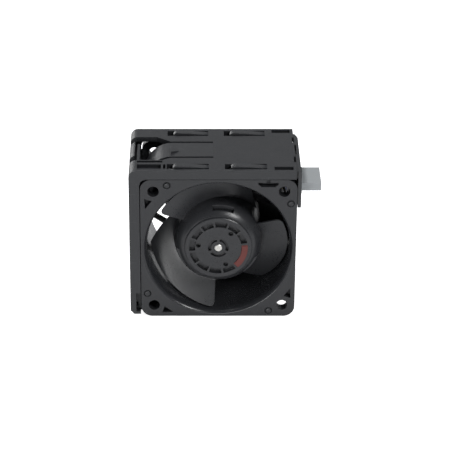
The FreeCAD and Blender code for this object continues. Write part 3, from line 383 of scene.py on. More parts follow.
def plastic(name, colour, roughness=0.5, grain=2600.0, relief=0.25, cloud=0.3, marks_amount=0.0,
            dust=0.06, polished_radius=0.0):
    """A moulded plastic with its own colour, grain and handling marks; a bore can be polished."""
    material, tree, shader, coordinates = new_material(name)
    surface = place_group(tree, skin, coordinates, Colour=(*colour, 1), Grain_Scale=grain,
                          Cloud_Depth=cloud, Base_Roughness=roughness, Dust=dust)
    colour_out, rough_out, height = (surface.outputs[k] for k in ("Colour", "Roughness", "Height"))
    if marks_amount:
        worn = place_group(tree, marks, coordinates, Amount=marks_amount)
        colour_out = mix_colour(tree, worn.outputs["Mask"], colour_out, MARK_COLOUR)
        height = math_node(tree, "ADD", height, worn.outputs["Height"])
    if polished_radius:
        off_axis = axis_distance(tree, centred_on_axis(tree, coordinates))
        inside = math_node(tree, "LESS_THAN", off_axis, polished_radius)
        rough_out = math_node(tree, "MULTIPLY_ADD", inside, -MOUTH_POLISH, rough_out)
    tree.links.new(colour_out, shader.inputs["Base Color"])
    tree.links.new(rough_out, shader.inputs["Roughness"])
    bump(tree, shader, height, relief, SKIN_DEPTH)
    return material


carrier_black = plastic("carrier_black", CARRIER_TONE, 0.47, relief=0.3, marks_amount=0.35)
spring_black = plastic("spring_black", CARRIER_TONE, 0.42, relief=0.25, marks_amount=0.5)
frame_black = plastic("frame_black", (0.0175, 0.0185, 0.021), 0.43, relief=0.2, cloud=0.35,
                      polished_radius=MOUTH_R * MM)
vane_black = plastic("vane_black", (0.010, 0.0105, 0.012), 0.52, relief=0.3)
blade_black = plastic("blade_black", (0.0225, 0.0235, 0.0260), 0.31, relief=0.12, cloud=0.25)
plate_black = plastic("plate_black", (0.024, 0.0255, 0.028), 0.50, relief=0.3, marks_amount=0.3)
plug_grey = plastic("plug_grey", (0.345, 0.365, 0.375), 0.42, relief=0.15, cloud=0.2, dust=0.03)
insulator_black = plastic("insulator_black", (0.05, 0.05, 0.052), 0.45)
putty_red = plastic("putty_red", (0.14, 0.028, 0.022), 0.72, grain=900.0, relief=0.8, cloud=0.9, dust=0.02)
chip_black = plastic("chip_black", (0.03, 0.03, 0.032), 0.55, grain=5000.0, relief=0.2)
print("plastics ready:", len(bpy.data.materials))

# %% [markdown]
# The metals are the shaft and its springs, the bearings, the magnet cup, the stator's core, the brass
# tube, the coils and the contacts. They differ in colour, in gloss and in the spacing of their rings.
# The bonded magnet is a dark ring with little shine.

# %% Materials: metals and the board


def turned_metal(name, colour, roughness, relief=0.15, spacing=9000.0, metallic=1.0):
    material, tree, shader, coordinates = new_material(name)
    turned = place_group(tree, rings, centred_on_axis(tree, coordinates), Spacing=spacing)
    darker = tuple(c * 0.8 for c in colour)
    tone = mix_colour(tree, turned.outputs["Mask"], (*darker, 1), (*colour, 1))
    tree.links.new(tone, shader.inputs["Base Color"])
    uneven = noise(tree, coordinates, 500.0, 3.0)
    rough = math_node(tree, "MULTIPLY_ADD", uneven, 0.25, roughness - 0.12, clamp=True)
    tree.links.new(rough, shader.inputs["Roughness"])
    shader.inputs["Metallic"].default_value = metallic
    bump(tree, shader, turned.outputs["Height"], relief, 0.00003)
    return material


shaft_steel = turned_metal("shaft_steel", (0.80, 0.79, 0.75), 0.36)
bearing_steel = turned_metal("bearing_steel", (0.70, 0.70, 0.70), 0.22)
spring_steel = turned_metal("spring_steel", (0.55, 0.55, 0.53), 0.35)
yoke_steel = turned_metal("yoke_steel", (0.50, 0.50, 0.49), 0.40, spacing=4000.0)
core_steel = turned_metal("core_steel", (0.36, 0.36, 0.37), 0.45, spacing=3000.0)
tube_brass = turned_metal("tube_brass", (0.72, 0.54, 0.26), 0.32)
contact_gold = turned_metal("contact_gold", (0.82, 0.62, 0.28), 0.25, relief=0.05)
coil_copper = turned_metal("coil_copper", (0.55, 0.24, 0.10), 0.30, spacing=14000.0)
magnet_dark = turned_metal("magnet_dark", (0.10, 0.10, 0.11), 0.60, metallic=0.3)


def laminate(name):
    """Green solder mask with paler tracks under it."""
    material, tree, shader, coordinates = new_material(name)
    tracks = tree.nodes.new("ShaderNodeTexBrick")
    tracks.inputs["Scale"].default_value = 220.0
    tracks.inputs["Mortar Size"].default_value = 0.06
    tracks.inputs["Color1"].default_value = (0.02, 0.12, 0.05, 1)
    tracks.inputs["Color2"].default_value = (0.03, 0.15, 0.06, 1)
    tracks.inputs["Mortar"].default_value = (0.05, 0.24, 0.10, 1)
    swap = tree.nodes.new("ShaderNodeMapping")
    swap.inputs["Rotation"].default_value = (math.radians(90), 0, 0)
    tree.links.new(coordinates, swap.inputs["Vector"])
    tree.links.new(swap.outputs["Vector"], tracks.inputs["Vector"])
    tree.links.new(tracks.outputs["Color"], shader.inputs["Base Color"])
    rough = math_node(tree, "MULTIPLY_ADD", noise(tree, coordinates, 800.0), 0.2, 0.2)
    tree.links.new(rough, shader.inputs["Roughness"])
    bump(tree, shader, tracks.outputs["Fac"], 0.2, 0.00003)
    return material


board_green = laminate("board_green")


def cover(name, colour):
    """Thin vinyl cover of a lead: smooth, with slow waves from being bent."""
    material, tree, shader, coordinates = new_material(name)
    surface = place_group(tree, skin, coordinates, Colour=(*colour, 1), Grain_Scale=4000.0,
                          Cloud_Depth=0.2, Base_Roughness=0.33, Dust=0.02)
    tree.links.new(surface.outputs["Colour"], shader.inputs["Base Color"])
    tree.links.new(surface.outputs["Roughness"], shader.inputs["Roughness"])
    bump(tree, shader, noise(tree, coordinates, 350.0, 1.0), 0.2, 0.0001)
    return material


cover_black = cover("cover_black", (0.02, 0.02, 0.02))
cover_red = cover("cover_red", (0.40, 0.02, 0.02))
cover_yellow = cover("cover_yellow", (0.62, 0.45, 0.03))
cover_blue = cover("cover_blue", (0.03, 0.09, 0.36))
sleeve_blue = plastic("sleeve_blue", (0.03, 0.04, 0.08), 0.3, relief=0.1)
print("materials ready:", len(bpy.data.materials))

# %% [markdown]
# ## Rounded edges
# A moulding never has a knife edge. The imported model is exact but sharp, so each visible plastic
# solid is copied, its loose triangles are merged into a clean mesh, and a Bevel modifier rounds every
# edge by a fraction of a millimetre. Weighted normals keep the large faces flat to the eye. The copy
# then stands in for the solid, which stays behind for the physics.

# %% Helpers: clean, mark and round a mesh


def settled(obj):
    """Apply the modifiers of a piece by swapping in its evaluated mesh."""
    depsgraph = bpy.context.evaluated_depsgraph_get()
    mesh = bpy.data.meshes.new_from_object(obj.evaluated_get(depsgraph), depsgraph=depsgraph)
    obj.modifiers.clear()
    obj.data = mesh


MERGE_DISTANCE = 2e-6


def clean_mesh(mesh, flat_angle=0.6):
    """Merge doubles and join coplanar triangles."""
    cleaned = bmesh.new()
    cleaned.from_mesh(mesh)
    bmesh.ops.remove_doubles(cleaned, verts=cleaned.verts, dist=MERGE_DISTANCE)
    bmesh.ops.dissolve_limit(cleaned, angle_limit=math.radians(flat_angle), verts=cleaned.verts,
                             edges=cleaned.edges, use_dissolve_boundaries=False)
    for face in cleaned.faces:
        face.smooth = True
    cleaned.to_mesh(mesh)
    cleaned.free()


def mark_edges(mesh, angle, spared=()):
    """Give every sharp edge a bevel weight, except edges inside a spared box."""
    marked = bmesh.new()
    marked.from_mesh(mesh)
    layer = marked.edges.layers.float.new("bevel_weight_edge")
    for edge in marked.edges:
        if len(edge.link_faces) != 2 or edge.calc_face_angle(0.0) < math.radians(angle):
            continue
        middle = (edge.verts[0].co + edge.verts[1].co) / 2
        if any(all(low[i] < middle[i] < high[i] for i in range(3)) for low, high in spared):
            continue
        edge[layer] = 1.0
    marked.to_mesh(mesh)
    marked.free()


def round_edges(obj, width, segments=2, angle=35, spared=()):
    mark_edges(obj.data, angle, spared)
    bevel = obj.modifiers.new("round", "BEVEL")
    bevel.width = width
    bevel.segments = segments
    bevel.limit_method = "WEIGHT"
    bevel.use_clamp_overlap = True
    weigh = obj.modifiers.new("weigh", "WEIGHTED_NORMAL")
    weigh.weight = 100
    weigh.keep_sharp = True


# %% [markdown]
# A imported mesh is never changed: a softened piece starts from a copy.

# %% Helpers: add a piece, soften a solid


def add_piece(name, mesh, body, material, stands_for=()):
    obj = bpy.data.objects.new(name, mesh)
    bpy.context.scene.collection.objects.link(obj)
    mesh.materials.clear()
    mesh.materials.append(material)
    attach(obj, body)
    if stands_for:
        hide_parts(*stands_for)
    return obj


def soften(node, material, width=0.2 * MM, segments=2, angle=35, spared=(), reshape=None):
    """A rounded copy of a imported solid, in its own finish."""
    mesh = frame["nodes"][node].data.copy()
    clean_mesh(mesh)
    if reshape:
        mesh = reshape(mesh)
    obj = add_piece(node + "_moulding", mesh, body_of_node[node], material)
    round_edges(obj, width, segments, angle, spared)
    settled(obj)
    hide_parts(node)
    print(node, "->", len(obj.data.polygons), "faces")


# %% [markdown]
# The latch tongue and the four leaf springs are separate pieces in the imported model, with a hair's
# gap where they flex, but on the real carrier they grow out of the top wall without a seam. So the
# edges at their roots are spared from rounding, and the roots reach almost to the wall.

# %% Roots of the tongue and the leaf springs
ROOT_REACH, ROOT_SIDE, ROOT_FACE = 0.4 * MM, 0.2 * MM, 0.05 * MM
TONGUE_GROWTH, LEAF_GROWTH = 0.14 * MM, 0.11 * MM


def root_zone(node):
    """Box round the root end of a spring, where it meets the top wall."""
    low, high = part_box(node)
    return (Vector((high.x - ROOT_REACH, low.y - ROOT_SIDE, low.z - ROOT_REACH)),
            Vector((high.x + ROOT_REACH, high.y + ROOT_SIDE, high.z + ROOT_REACH)))


def root_stretch(node, distance):
    """Reshaping that moves the root face of a spring outward."""
    root_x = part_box(node)[1].x

    def reshape(mesh):
        for vertex in mesh.vertices:
            if vertex.co.x > root_x - ROOT_FACE:
                vertex.co.x += distance
        return mesh
    return reshape


spring_nodes = ["latch_tongue"] + sorted(n for n in frame["nodes"] if n.startswith("leaf_spring"))
root_zones = [root_zone(n) for n in spring_nodes]
print("roots:", len(root_zones))

# %% [markdown]
# Some forms are easier to build than to bend out of a solid. A loft joins loops of points into one
# closed skin, and an exact boolean adds that skin to a moulding or cuts it away. The carrier, the inlet
# face, the plug and the hub all use these helpers.

# %% Helpers: points, lofts and booleans


def at_plane(x, z, depth_mm):
    """Point by its millimetres across, up and behind the middle of the inlet face."""
    return INLET + Vector((x, depth_mm, z)) * MM


def at(radius, degrees, depth_mm):
    """Point by radius and depth in millimetres and angle about the fan's axis."""
    turn = math.radians(degrees)
    return at_plane(radius * math.cos(turn), radius * math.sin(turn), depth_mm)


def loft(target, loops, closed=False):
    """Join equal loops of points into one closed skin."""
    rows = [[target.verts.new(p) for p in loop] for loop in loops]
    count = len(rows[0])
    pairs = list(zip(rows, rows[1:] + rows[:1])) if closed else list(zip(rows, rows[1:]))
    for row, after in pairs:
        for i in range(count):
            j = (i + 1) % count
            target.faces.new((row[i], row[j], after[j], after[i]))
    if not closed:
        target.faces.new(rows[0])
        target.faces.new(rows[-1])


def prism(target, corners, depths):
    """Closed solid with one outline, given as (x, z) pairs, between two depths."""
    loft(target, [[at_plane(x, z, y) for x, z in corners] for y in depths])


def mesh_of(name, build):
    """Run a building function on a fresh bmesh and return a clean mesh."""
    target = bmesh.new()
    build(target)
    bmesh.ops.recalc_face_normals(target, faces=target.faces)
    for face in target.faces:
        face.smooth = True
    mesh = bpy.data.meshes.new(name)
    target.to_mesh(mesh)
    target.free()
    return mesh


def combine(mesh, other, operation):
    """Boolean of two closed meshes; returns a new mesh."""
    base = bpy.data.objects.new("base", mesh)
    tool = bpy.data.objects.new("tool", other)
    for obj in (base, tool):
        bpy.context.scene.collection.objects.link(obj)
    cut = base.modifiers.new("boolean", "BOOLEAN")
    cut.object = tool
    cut.operation = operation
    cut.solver = "EXACT"
    settled(base)
    made = base.data
    bpy.data.objects.remove(base)
    bpy.data.objects.remove(tool)
    return made


# %% [markdown]
# The carrier's lips hold the fan by its flanges. The corners where the end wall meets the top wall are
# filled by a small rounded web, in the front lip and in the rear lip, so that the fan's rounded corner
# shows a thin dark crescent. The rear lip lies snugly on the flange, and the tab beside the snap hook
# stands back in its notch, so both are moved by their corner points.

# %% The carrier's lips and webs
LIP_X, LIP_BAND, LIP_FRONT_Y, LIP_SHIFT = -30.1, 0.15, 34.2, 0.09
TAB_SIDE_X, TAB_FRONT_Y, TAB_BAND, TAB_SPAN_Z, TAB_SHIFT = -28.0, 0.6, 0.02, (-25.0, -21.0), 1.9
WEB_R, WEB_SINK, WEB_DEPTHS, WEB_STEPS = 2.1, 0.3, ((-0.3, 2.2), (34.3, 36.8)), 10


def corner_webs(target):
    """Rounded fillings of the lips' inner corners, sunk a little into both walls."""
    middle_x, middle_z = LIP_X + WEB_R, -LIP_X - WEB_R
    sunk_x, sunk_z = LIP_X - WEB_SINK, -LIP_X + WEB_SINK
    turns = [math.radians(180 - 90 * k / WEB_STEPS) for k in range(WEB_STEPS + 1)]
    arc = [(middle_x + WEB_R * math.cos(t), middle_z + WEB_R * math.sin(t)) for t in turns]
    for depths in WEB_DEPTHS:
        prism(target, [(sunk_x, middle_z)] + arc + [(middle_x, sunk_z), (sunk_x, sunk_z)], depths)


def with_lips_and_webs(mesh):
    for vertex in mesh.vertices:
        x, y, z = (vertex.co - INLET) / MM
        if abs(x - LIP_X) < LIP_BAND and y > LIP_FRONT_Y:
            vertex.co.x += LIP_SHIFT * MM
        if abs(y - TAB_FRONT_Y) < TAB_BAND and TAB_SPAN_Z[0] < z < TAB_SPAN_Z[1] and x < TAB_SIDE_X:
            vertex.co.y += TAB_SHIFT * MM
    webbed = combine(mesh, mesh_of("corner_webs", corner_webs), "UNION")
    clean_mesh(webbed)
    return webbed


print("corner webs:", len(WEB_DEPTHS), "of radius", WEB_R, "mm")

# %% Soften the carrier and its springs
soften("carrier_shell", carrier_black, 0.22 * MM, spared=root_zones,
       reshape=with_lips_and_webs)
for node in spring_nodes:
    growth = TONGUE_GROWTH if node == "latch_tongue" else LEAF_GROWTH
    soften(node, spring_black, spared=root_zones, reshape=root_stretch(node, growth))

# %% [markdown]
# Three of the four mounting holes have a three-cornered recess beside them, each a quarter turn from
# the last. Four location domes stand on the inlet face, each in a shallow ring groove. They are small,
# so they only show if they are truly round. Each groove is cut first and each dome is added after it.

# %% Recesses and domes of the inlet face
ABOVE_FACE = -0.8
RECESS, RECESS_COUNT, RECESS_DEPTH = ((-28.40, 21.86), (-25.56, 20.94), (-28.16, 17.50)), 3, 3.2
DOMES = ((-19.8, 27.6), (27.6, 19.8), (19.8, -27.6), (-27.6, -19.8))
DOME_R, DOME_RISE = 1.12, 0.44
DOME_ROOT = (DOME_R - 0.02, 0.6)
GROOVE_R, GROOVE_FOOT_R, GROOVE_CORE_R, GROOVE_DEPTH = DOME_R + 0.4, DOME_R + 0.1, 0.4, 0.5


def circle_at(x, z, radius, depth_mm, steps=32):
    return [at_plane(x + radius * math.cos(math.tau * k / steps), z + radius * math.sin(math.tau * k / steps),
                     depth_mm) for k in range(steps)]


def dome_caps(target):
    turns = [math.radians(d) for d in range(0, 81, 10)]
    profile = [DOME_ROOT] + [(DOME_R * math.cos(t), -DOME_RISE * math.sin(t)) for t in turns]
    for x, z in DOMES:
        loft(target, [circle_at(x, z, r, y) for r, y in profile])


def dome_grooves(target):
    profile = ((GROOVE_R, ABOVE_FACE), (GROOVE_R, 0.0), (GROOVE_FOOT_R, GROOVE_DEPTH),
               (GROOVE_CORE_R, GROOVE_DEPTH), (GROOVE_CORE_R, ABOVE_FACE))
    for x, z in DOMES:
        loft(target, [circle_at(x, z, r, y) for r, y in profile])


def deep_recesses(target):
    corners = RECESS
    for _ in range(RECESS_COUNT):
        prism(target, corners, (ABOVE_FACE, RECESS_DEPTH))
        corners = [(-z, x) for x, z in corners]


def with_inlet_details(mesh):
    mesh = combine(mesh, mesh_of("deep_recesses", deep_recesses), "DIFFERENCE")
    clean_mesh(mesh)
    grooved = combine(mesh, mesh_of("dome_grooves", dome_grooves), "DIFFERENCE")
    return combine(grooved, mesh_of("dome_caps", dome_caps), "UNION")


print("inlet face:", RECESS_COUNT, "recesses and", len(DOMES), "domes")

# %% [markdown]
# The end plate carries two hooks that reach under the top wall. Their rear ends grow a little, so that
# no light slips past them. The plug's top has no windows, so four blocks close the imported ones.

# %% Soften the end plate and the plug
HOOK_ROOT_X, HOOK_END_YS, END_BAND, HOOK_GROWTH = 29.65, (11.7, 28.7), 0.05, 0.28
HOOK_TOP_Z, TOP_BAND, HOOK_LIFT = 31.85, 0.03, 0.10
CONTACT_YS = (11.0, 13.5, 16.0, 18.5)
LID_XS, LID_ZS, LID_HALF_WIDTH = (36.1, 37.9), (24.1, 24.7), 0.45


def with_full_hooks(mesh):
    for vertex in mesh.vertices:
        x, y, z = (vertex.co - INLET) / MM
        if x < HOOK_ROOT_X and any(abs(y - end) < END_BAND for end in HOOK_END_YS):
            vertex.co.y += HOOK_GROWTH * MM
        if x < HOOK_ROOT_X and abs(z - HOOK_TOP_Z) < TOP_BAND:
            vertex.co.z += HOOK_LIFT * MM
    return mesh


def plug_lids(target):
    (left, right), (low, high) = LID_XS, LID_ZS
    for y in CONTACT_YS:
        prism(target, ((left, low), (right, low), (right, high), (left, high)),
              (y - LID_HALF_WIDTH, y + LID_HALF_WIDTH))


def with_closed_top(mesh):
    closed = combine(mesh, mesh_of("plug_lids", plug_lids), "UNION")
    clean_mesh(closed)
    return closed


soften("connector_plate", plate_black, reshape=with_full_hooks)
soften("plug_housing", plug_grey, 0.18 * MM, reshape=with_closed_top)

# %% [markdown]
# The fan's housing gets the broadest rounding, and the thin guide vanes a narrower one. The balance
# putty is pressed in by hand, so its edges are soft, and they are rounded from a flatter angle.

# %% Soften the fan's mouldings
soften("fan_frame", frame_black, 0.3 * MM, 3, reshape=with_inlet_details)
soften("guide_vanes", vane_black)
soften("balance_putty", putty_red, 0.25 * MM, 3, 20)

# %% [markdown]
# ## The impeller
# A blade is a surface with a rule. Along the blade, the angle runs back from the front edge while the
# depth grows. Across it, both change between hub and tip, and close to the hub the rear edge trails
# far behind. Geometry Nodes bends one grid of points by that rule and turns copies of it round the
# axis. All lengths go in as metres and all angles as radians, under names that say what they are.

# %% Helper: grow a mesh from a rule


def rule_tree(name, inputs):
    """A Geometry Nodes group with named inputs and one geometry output."""
    tree = bpy.data.node_groups.new(name, "GeometryNodeTree")
    for label, kind in inputs:
        tree.interface.new_socket(name=label, in_out="INPUT", socket_type="NodeSocket" + kind)
    tree.interface.new_socket(name="Geometry", in_out="OUTPUT", socket_type="NodeSocketGeometry")
    return tree, tree.nodes.new("NodeGroupInput").outputs, tree.nodes.new("NodeGroupOutput")


def grown_mesh(name, tree, values, seed=None):
    """Evaluate a group once with its inputs set, and return a plain mesh."""
    holder = bpy.data.objects.new(name, seed or bpy.data.meshes.new(name + "_seed"))
    bpy.context.scene.collection.objects.link(holder)
    modifier = holder.modifiers.new("rule", "NODES")
    settings = [item for item in tree.interface.items_tree
                if item.in_out == "INPUT" and item.socket_type != "NodeSocketGeometry"]
    modifier.node_group = tree
    for item in settings:
        modifier[item.identifier] = values[item.name]
    depsgraph = bpy.context.evaluated_depsgraph_get()
    mesh = bpy.data.meshes.new_from_object(holder.evaluated_get(depsgraph), depsgraph=depsgraph)
    mesh.name = name
    bpy.data.objects.remove(holder)
    return mesh


def finish_rule(tree, result, geometry, material, centre=None):
    """The end of every rule: real geometry, moved onto its centre if it has one, with its material."""
    real = tree.nodes.new("GeometryNodeRealizeInstances")
    paint = tree.nodes.new("GeometryNodeSetMaterial")
    tree.links.new(geometry, real.inputs[0])
    placed = real.outputs[0]
    if centre is not None:
        move = tree.nodes.new("GeometryNodeTransform")
        tree.links.new(placed, move.inputs["Geometry"])
        tree.links.new(centre, move.inputs["Translation"])
        placed = move.outputs[0]
    tree.links.new(placed, paint.inputs["Geometry"])
    tree.links.new(material, paint.inputs["Material"])
    tree.links.new(paint.outputs[0], result.inputs[0])


def copies_round(tree, geometry, count):
    """Copies of a geometry, evenly turned about the Y axis."""
    points = tree.nodes.new("GeometryNodePoints")
    tree.links.new(count, points.inputs["Count"])
    index = tree.nodes.new("GeometryNodeInputIndex").outputs[0]
    angle = math_node(tree, "MULTIPLY", index, math_node(tree, "DIVIDE", math.tau, count))
    spin = tree.nodes.new("ShaderNodeCombineXYZ")
    tree.links.new(angle, spin.inputs["Y"])
    place = tree.nodes.new("GeometryNodeInstanceOnPoints")
    tree.links.new(points.outputs[0], place.inputs["Points"])
    tree.links.new(geometry, place.inputs["Instance"])
    tree.links.new(spin.outputs[0], place.inputs["Rotation"])
    return place.outputs[0]


# %% The blade rule: its inputs
BLADE_SIZES = ("Root Radius", "Hub Radius", "Tip Radius", "Lead Angle", "Hub Span", "Tip Span", "Sweep Power",
               "Hub Lead", "Tip Lead", "Hub Trail", "Tip Trail", "Thickness", "Edge", "Corner")
blade_inputs = ([("Blades", "Int")] + [(label, "Float") for label in BLADE_SIZES]
                + [("Centre", "Vector"), ("Material", "Material")])
blade_rule, given, result = rule_tree("blade_ring", blade_inputs)


def sums(operation, *values):
    return math_node(blade_rule, operation, *values)


def between(low, high, share):
    return sums("MULTIPLY_ADD", sums("SUBTRACT", high, low), share, low)


print("blade rule:", len(blade_inputs), "named inputs")

# %% [markdown]
# A flat cube of points is the stock. Its X runs along the blade and its Y from hub to tip. `course` is
# the share of the way from the front edge to the rear edge, with more points near the front. The rim
# is drawn in over the first stretch, so that the tip's front corner is a quarter circle.

# %% The blade rule: along and across
GRID_POINTS = (("Vertices X", 89), ("Vertices Y", 17), ("Vertices Z", 3))
CROWDING = 0.45
grid = blade_rule.nodes.new("GeometryNodeMeshCube")
for label, count in GRID_POINTS:
    grid.inputs[label].default_value = count
grid_place = blade_rule.nodes.new("ShaderNodeSeparateXYZ")
blade_rule.links.new(blade_rule.nodes.new("GeometryNodeInputPosition").outputs[0], grid_place.inputs[0])
even = sums("ADD", grid_place.outputs["X"], 0.5)
course = sums("MULTIPLY", even, sums("MULTIPLY_ADD", even, CROWDING, 1 - CROWDING))
outward = sums("ADD", grid_place.outputs["Y"], 0.5)
hub, tip = given["Hub Radius"], given["Tip Radius"]
run = sums("MULTIPLY", sums("MULTIPLY", course, given["Tip Span"]), tip)
near = sums("MAXIMUM", sums("SUBTRACT", 1.0, sums("DIVIDE", run, given["Corner"])), 0.0)
arc = sums("SQRT", sums("SUBTRACT", 1.0, sums("MULTIPLY", near, near)))
rim = sums("SUBTRACT", tip, sums("MULTIPLY", given["Corner"], sums("SUBTRACT", 1.0, arc)))
radius = between(given["Root Radius"], rim, outward)
share = sums("DIVIDE", sums("MAXIMUM", sums("SUBTRACT", radius, hub), 0.0), sums("SUBTRACT", tip, hub))
print("grid of", " x ".join(str(count) for label, count in GRID_POINTS), "points")

# %% [markdown]
# With those two shares known, each point gets an angle and a depth. Both grow from the front edge to
# the rear edge, by an amount that changes from hub to tip. `CURL` makes the blade steeper towards its
# rear edge.

# %% The blade rule: angle and depth
CURL = 0.25
span = between(given["Hub Span"], given["Tip Span"], sums("POWER", share, given["Sweep Power"]))
angle = sums("SUBTRACT", given["Lead Angle"], sums("MULTIPLY", span, course))
front = between(given["Hub Lead"], given["Tip Lead"], share)
fall = sums("SUBTRACT", between(given["Hub Trail"], given["Tip Trail"], share), front)
eased = sums("MULTIPLY", course, sums("MULTIPLY_ADD", course, CURL, 1 - CURL))
depth = sums("MULTIPLY_ADD", fall, eased, front)
print("blade rule:", len(blade_rule.nodes), "nodes so far")

# %% [markdown]
# The thickness is laid square to the blade's own slope. It is greatest a little before the middle of
# the course, less at the front edge, least at the rear edge, and less at the tip than at the hub.

# %% The blade rule: thickness, bend and copies
TIP_THINNING = 0.35
THICKEST = 0.45
full = sums("MULTIPLY", given["Thickness"], sums("MULTIPLY_ADD", share, -TIP_THINNING, 1.0))
aside = sums("MULTIPLY_ADD", course, 2.0, -2 * THICKEST)
belly = sums("SUBTRACT", 1.0, sums("DIVIDE", sums("MULTIPLY", aside, aside), (2 - 2 * THICKEST) ** 2))
offset = sums("MULTIPLY", grid_place.outputs["Z"], between(given["Edge"], full, belly))
along = sums("MULTIPLY", sums("MULTIPLY", span, radius), -1.0)
rise = sums("MULTIPLY", fall, sums("MULTIPLY_ADD", course, 2 * CURL, 1 - CURL))
slope = sums("SQRT", sums("ADD", sums("MULTIPLY", along, along), sums("MULTIPLY", rise, rise)))
unit = sums("DIVIDE", offset, slope)
theta = sums("SUBTRACT", angle, sums("DIVIDE", sums("MULTIPLY", rise, unit), radius))
bent_place = blade_rule.nodes.new("ShaderNodeCombineXYZ")
feed(blade_rule, bent_place.inputs["X"], sums("MULTIPLY", radius, sums("COSINE", theta)))
feed(blade_rule, bent_place.inputs["Y"], sums("MULTIPLY_ADD", along, unit, depth))
feed(blade_rule, bent_place.inputs["Z"], sums("MULTIPLY", radius, sums("SINE", theta)))
bend = blade_rule.nodes.new("GeometryNodeSetPosition")
blade_rule.links.new(grid.outputs["Mesh"], bend.inputs["Geometry"])
blade_rule.links.new(bent_place.outputs[0], bend.inputs["Position"])
ring_of_blades = copies_round(blade_rule, bend.outputs[0], given["Blades"])
finish_rule(blade_rule, result, ring_of_blades, given["Material"], given["Centre"])
print("blade rule:", len(blade_rule.nodes), "nodes")

# %% [markdown]
# Three broad blades. They start a little inside the hub, so that the boolean which joins them finds no
# gap.

# %% Three blades
HUB_R, TIP_R, ROOT_SINK = 17.0, 27.0, 0.7
blade_values = {"Blades": 3, "Root Radius": (HUB_R - ROOT_SINK) * MM, "Hub Radius": HUB_R * MM,
                "Tip Radius": TIP_R * MM, "Lead Angle": math.radians(27.0), "Hub Span": math.radians(122.0),
                "Tip Span": math.radians(76.0), "Sweep Power": 0.6, "Hub Lead": 7.0 * MM,
                "Tip Lead": 1.9 * MM, "Hub Trail": 19.6 * MM, "Tip Trail": 15.6 * MM,
                "Thickness": 1.5 * MM, "Edge": 0.5 * MM, "Corner": 1.9 * MM, "Centre": INLET,
                "Material": blade_black}
blades = grown_mesh("blades", blade_rule, blade_values)
print("blades:", len(blades.polygons), "faces")

# %% [markdown]
# The hub is turned from a profile, like the real mould core: a flat front disc, a rounded shoulder and
# a straight skirt. The balance pockets, the tool holes, the collar slots, the three shoulder slots and
# six small dimples are cut out of it with one boolean, and a bevel softens every edge that this leaves.

# %% Helpers: turned solids and cutters


def spun(target, profile, steps=144):
    loft(target, [[at(r, 360.0 * k / steps, y) for r, y in profile] for k in range(steps)], True)


def sector(target, radii, depths, middle, span_deg, steps):
    """Curved cutter between two radii and two depths, about a middle angle."""
    (r0, r1), (y0, y1) = radii, depths
    corners = ((r0, y0), (r1, y0), (r1, y1), (r0, y1))
    loft(target, [[at(r, middle + span_deg * (k / steps - 0.5), y) for r, y in corners]
                  for k in range(steps + 1)])


def drum(target, ring_r, degrees, radius, depths, steps=28):
    """Round cutter along the fan's axis; its own axis lies on a ring round the fan's."""
    turn = math.radians(degrees)
    x, z = ring_r * math.cos(turn), ring_r * math.sin(turn)
    loft(target, [circle_at(x, z, radius, y, steps) for y in depths])


def rounded_mesh(mesh, width, segments=2, angle=35):
    holder = bpy.data.objects.new("holder", mesh)
    bpy.context.scene.collection.objects.link(holder)
    round_edges(holder, width, segments, angle)
    settled(holder)
    made = holder.data
    bpy.data.objects.remove(holder)
    return made


# %% The hub's body
DISC_Y, DISC_R, DISC_BACK_Y = 1.0, 12.8, 4.4
LEDGE_R, SKIRT_BORE_R, SKIRT_END_Y = 13.1, 15.8, 23.2
SHAFT_BORE_R, BOSS_R, BOSS_END_Y = 1.52, 3.7, 6.75
SHOULDER = Vector((13.45, 1.85)), Vector((16.3, 3.6)), Vector((HUB_R, 7.6))


def shoulder(steps=10):
    """Rounded shoulder between the front disc and the skirt, as a quadratic curve."""
    start, pull, end = SHOULDER
    points = []
    for k in range(steps + 1):
        s = k / steps
        points.append(tuple(start * (1 - s) ** 2 + pull * 2 * s * (1 - s) + end * s * s))
    return points


def hub_body(target):
    face = [(SHAFT_BORE_R, DISC_Y), (7.0, DISC_Y), (DISC_R, DISC_Y), (LEDGE_R, 1.3), (13.15, 1.75)]
    skirt = [(HUB_R, 14.0), (HUB_R, SKIRT_END_Y), (SKIRT_BORE_R, SKIRT_END_Y), (SKIRT_BORE_R, 6.8)]
    boss = [(LEDGE_R, DISC_BACK_Y), (BOSS_R, DISC_BACK_Y), (3.3, BOSS_END_Y), (SHAFT_BORE_R, BOSS_END_Y)]
    spun(target, face + shoulder() + skirt + boss)


print("hub: radius", HUB_R, "mm, from", DISC_Y, "to", SKIRT_END_Y, "mm behind the inlet face")

# %% The hub's pockets, holes and slots
POCKET_COUNT, THIRDS = 12, 3
POCKET = {"radii": (9.0, 11.3), "depths": (0.0, 2.6), "span_deg": 25.6, "steps": 8}
COLLAR_SLOT = {"radii": (2.8, 4.0), "depths": (0.0, 2.5), "span_deg": 102.0, "steps": 24}
SHOULDER_SLOT = {"radii": (14.4, 18.5), "depths": (3.35, 5.6), "span_deg": 31.0, "steps": 14}
TOOL_HOLE = {"ring_r": 7.8, "radius": 0.95, "depths": (0.0, 2.8)}
DIMPLE = {"ring_r": 6.1, "radius": 0.62, "depths": (0.0, 1.07), "steps": 20}
DIMPLE_ANGLES = (22.0, 84.0, 118.0, 204.0, 262.0, 328.0)
POCKET_START, HOLE_START, COLLAR_START, SLOT_START = 84.0, 52.0, 30.0, 83.2


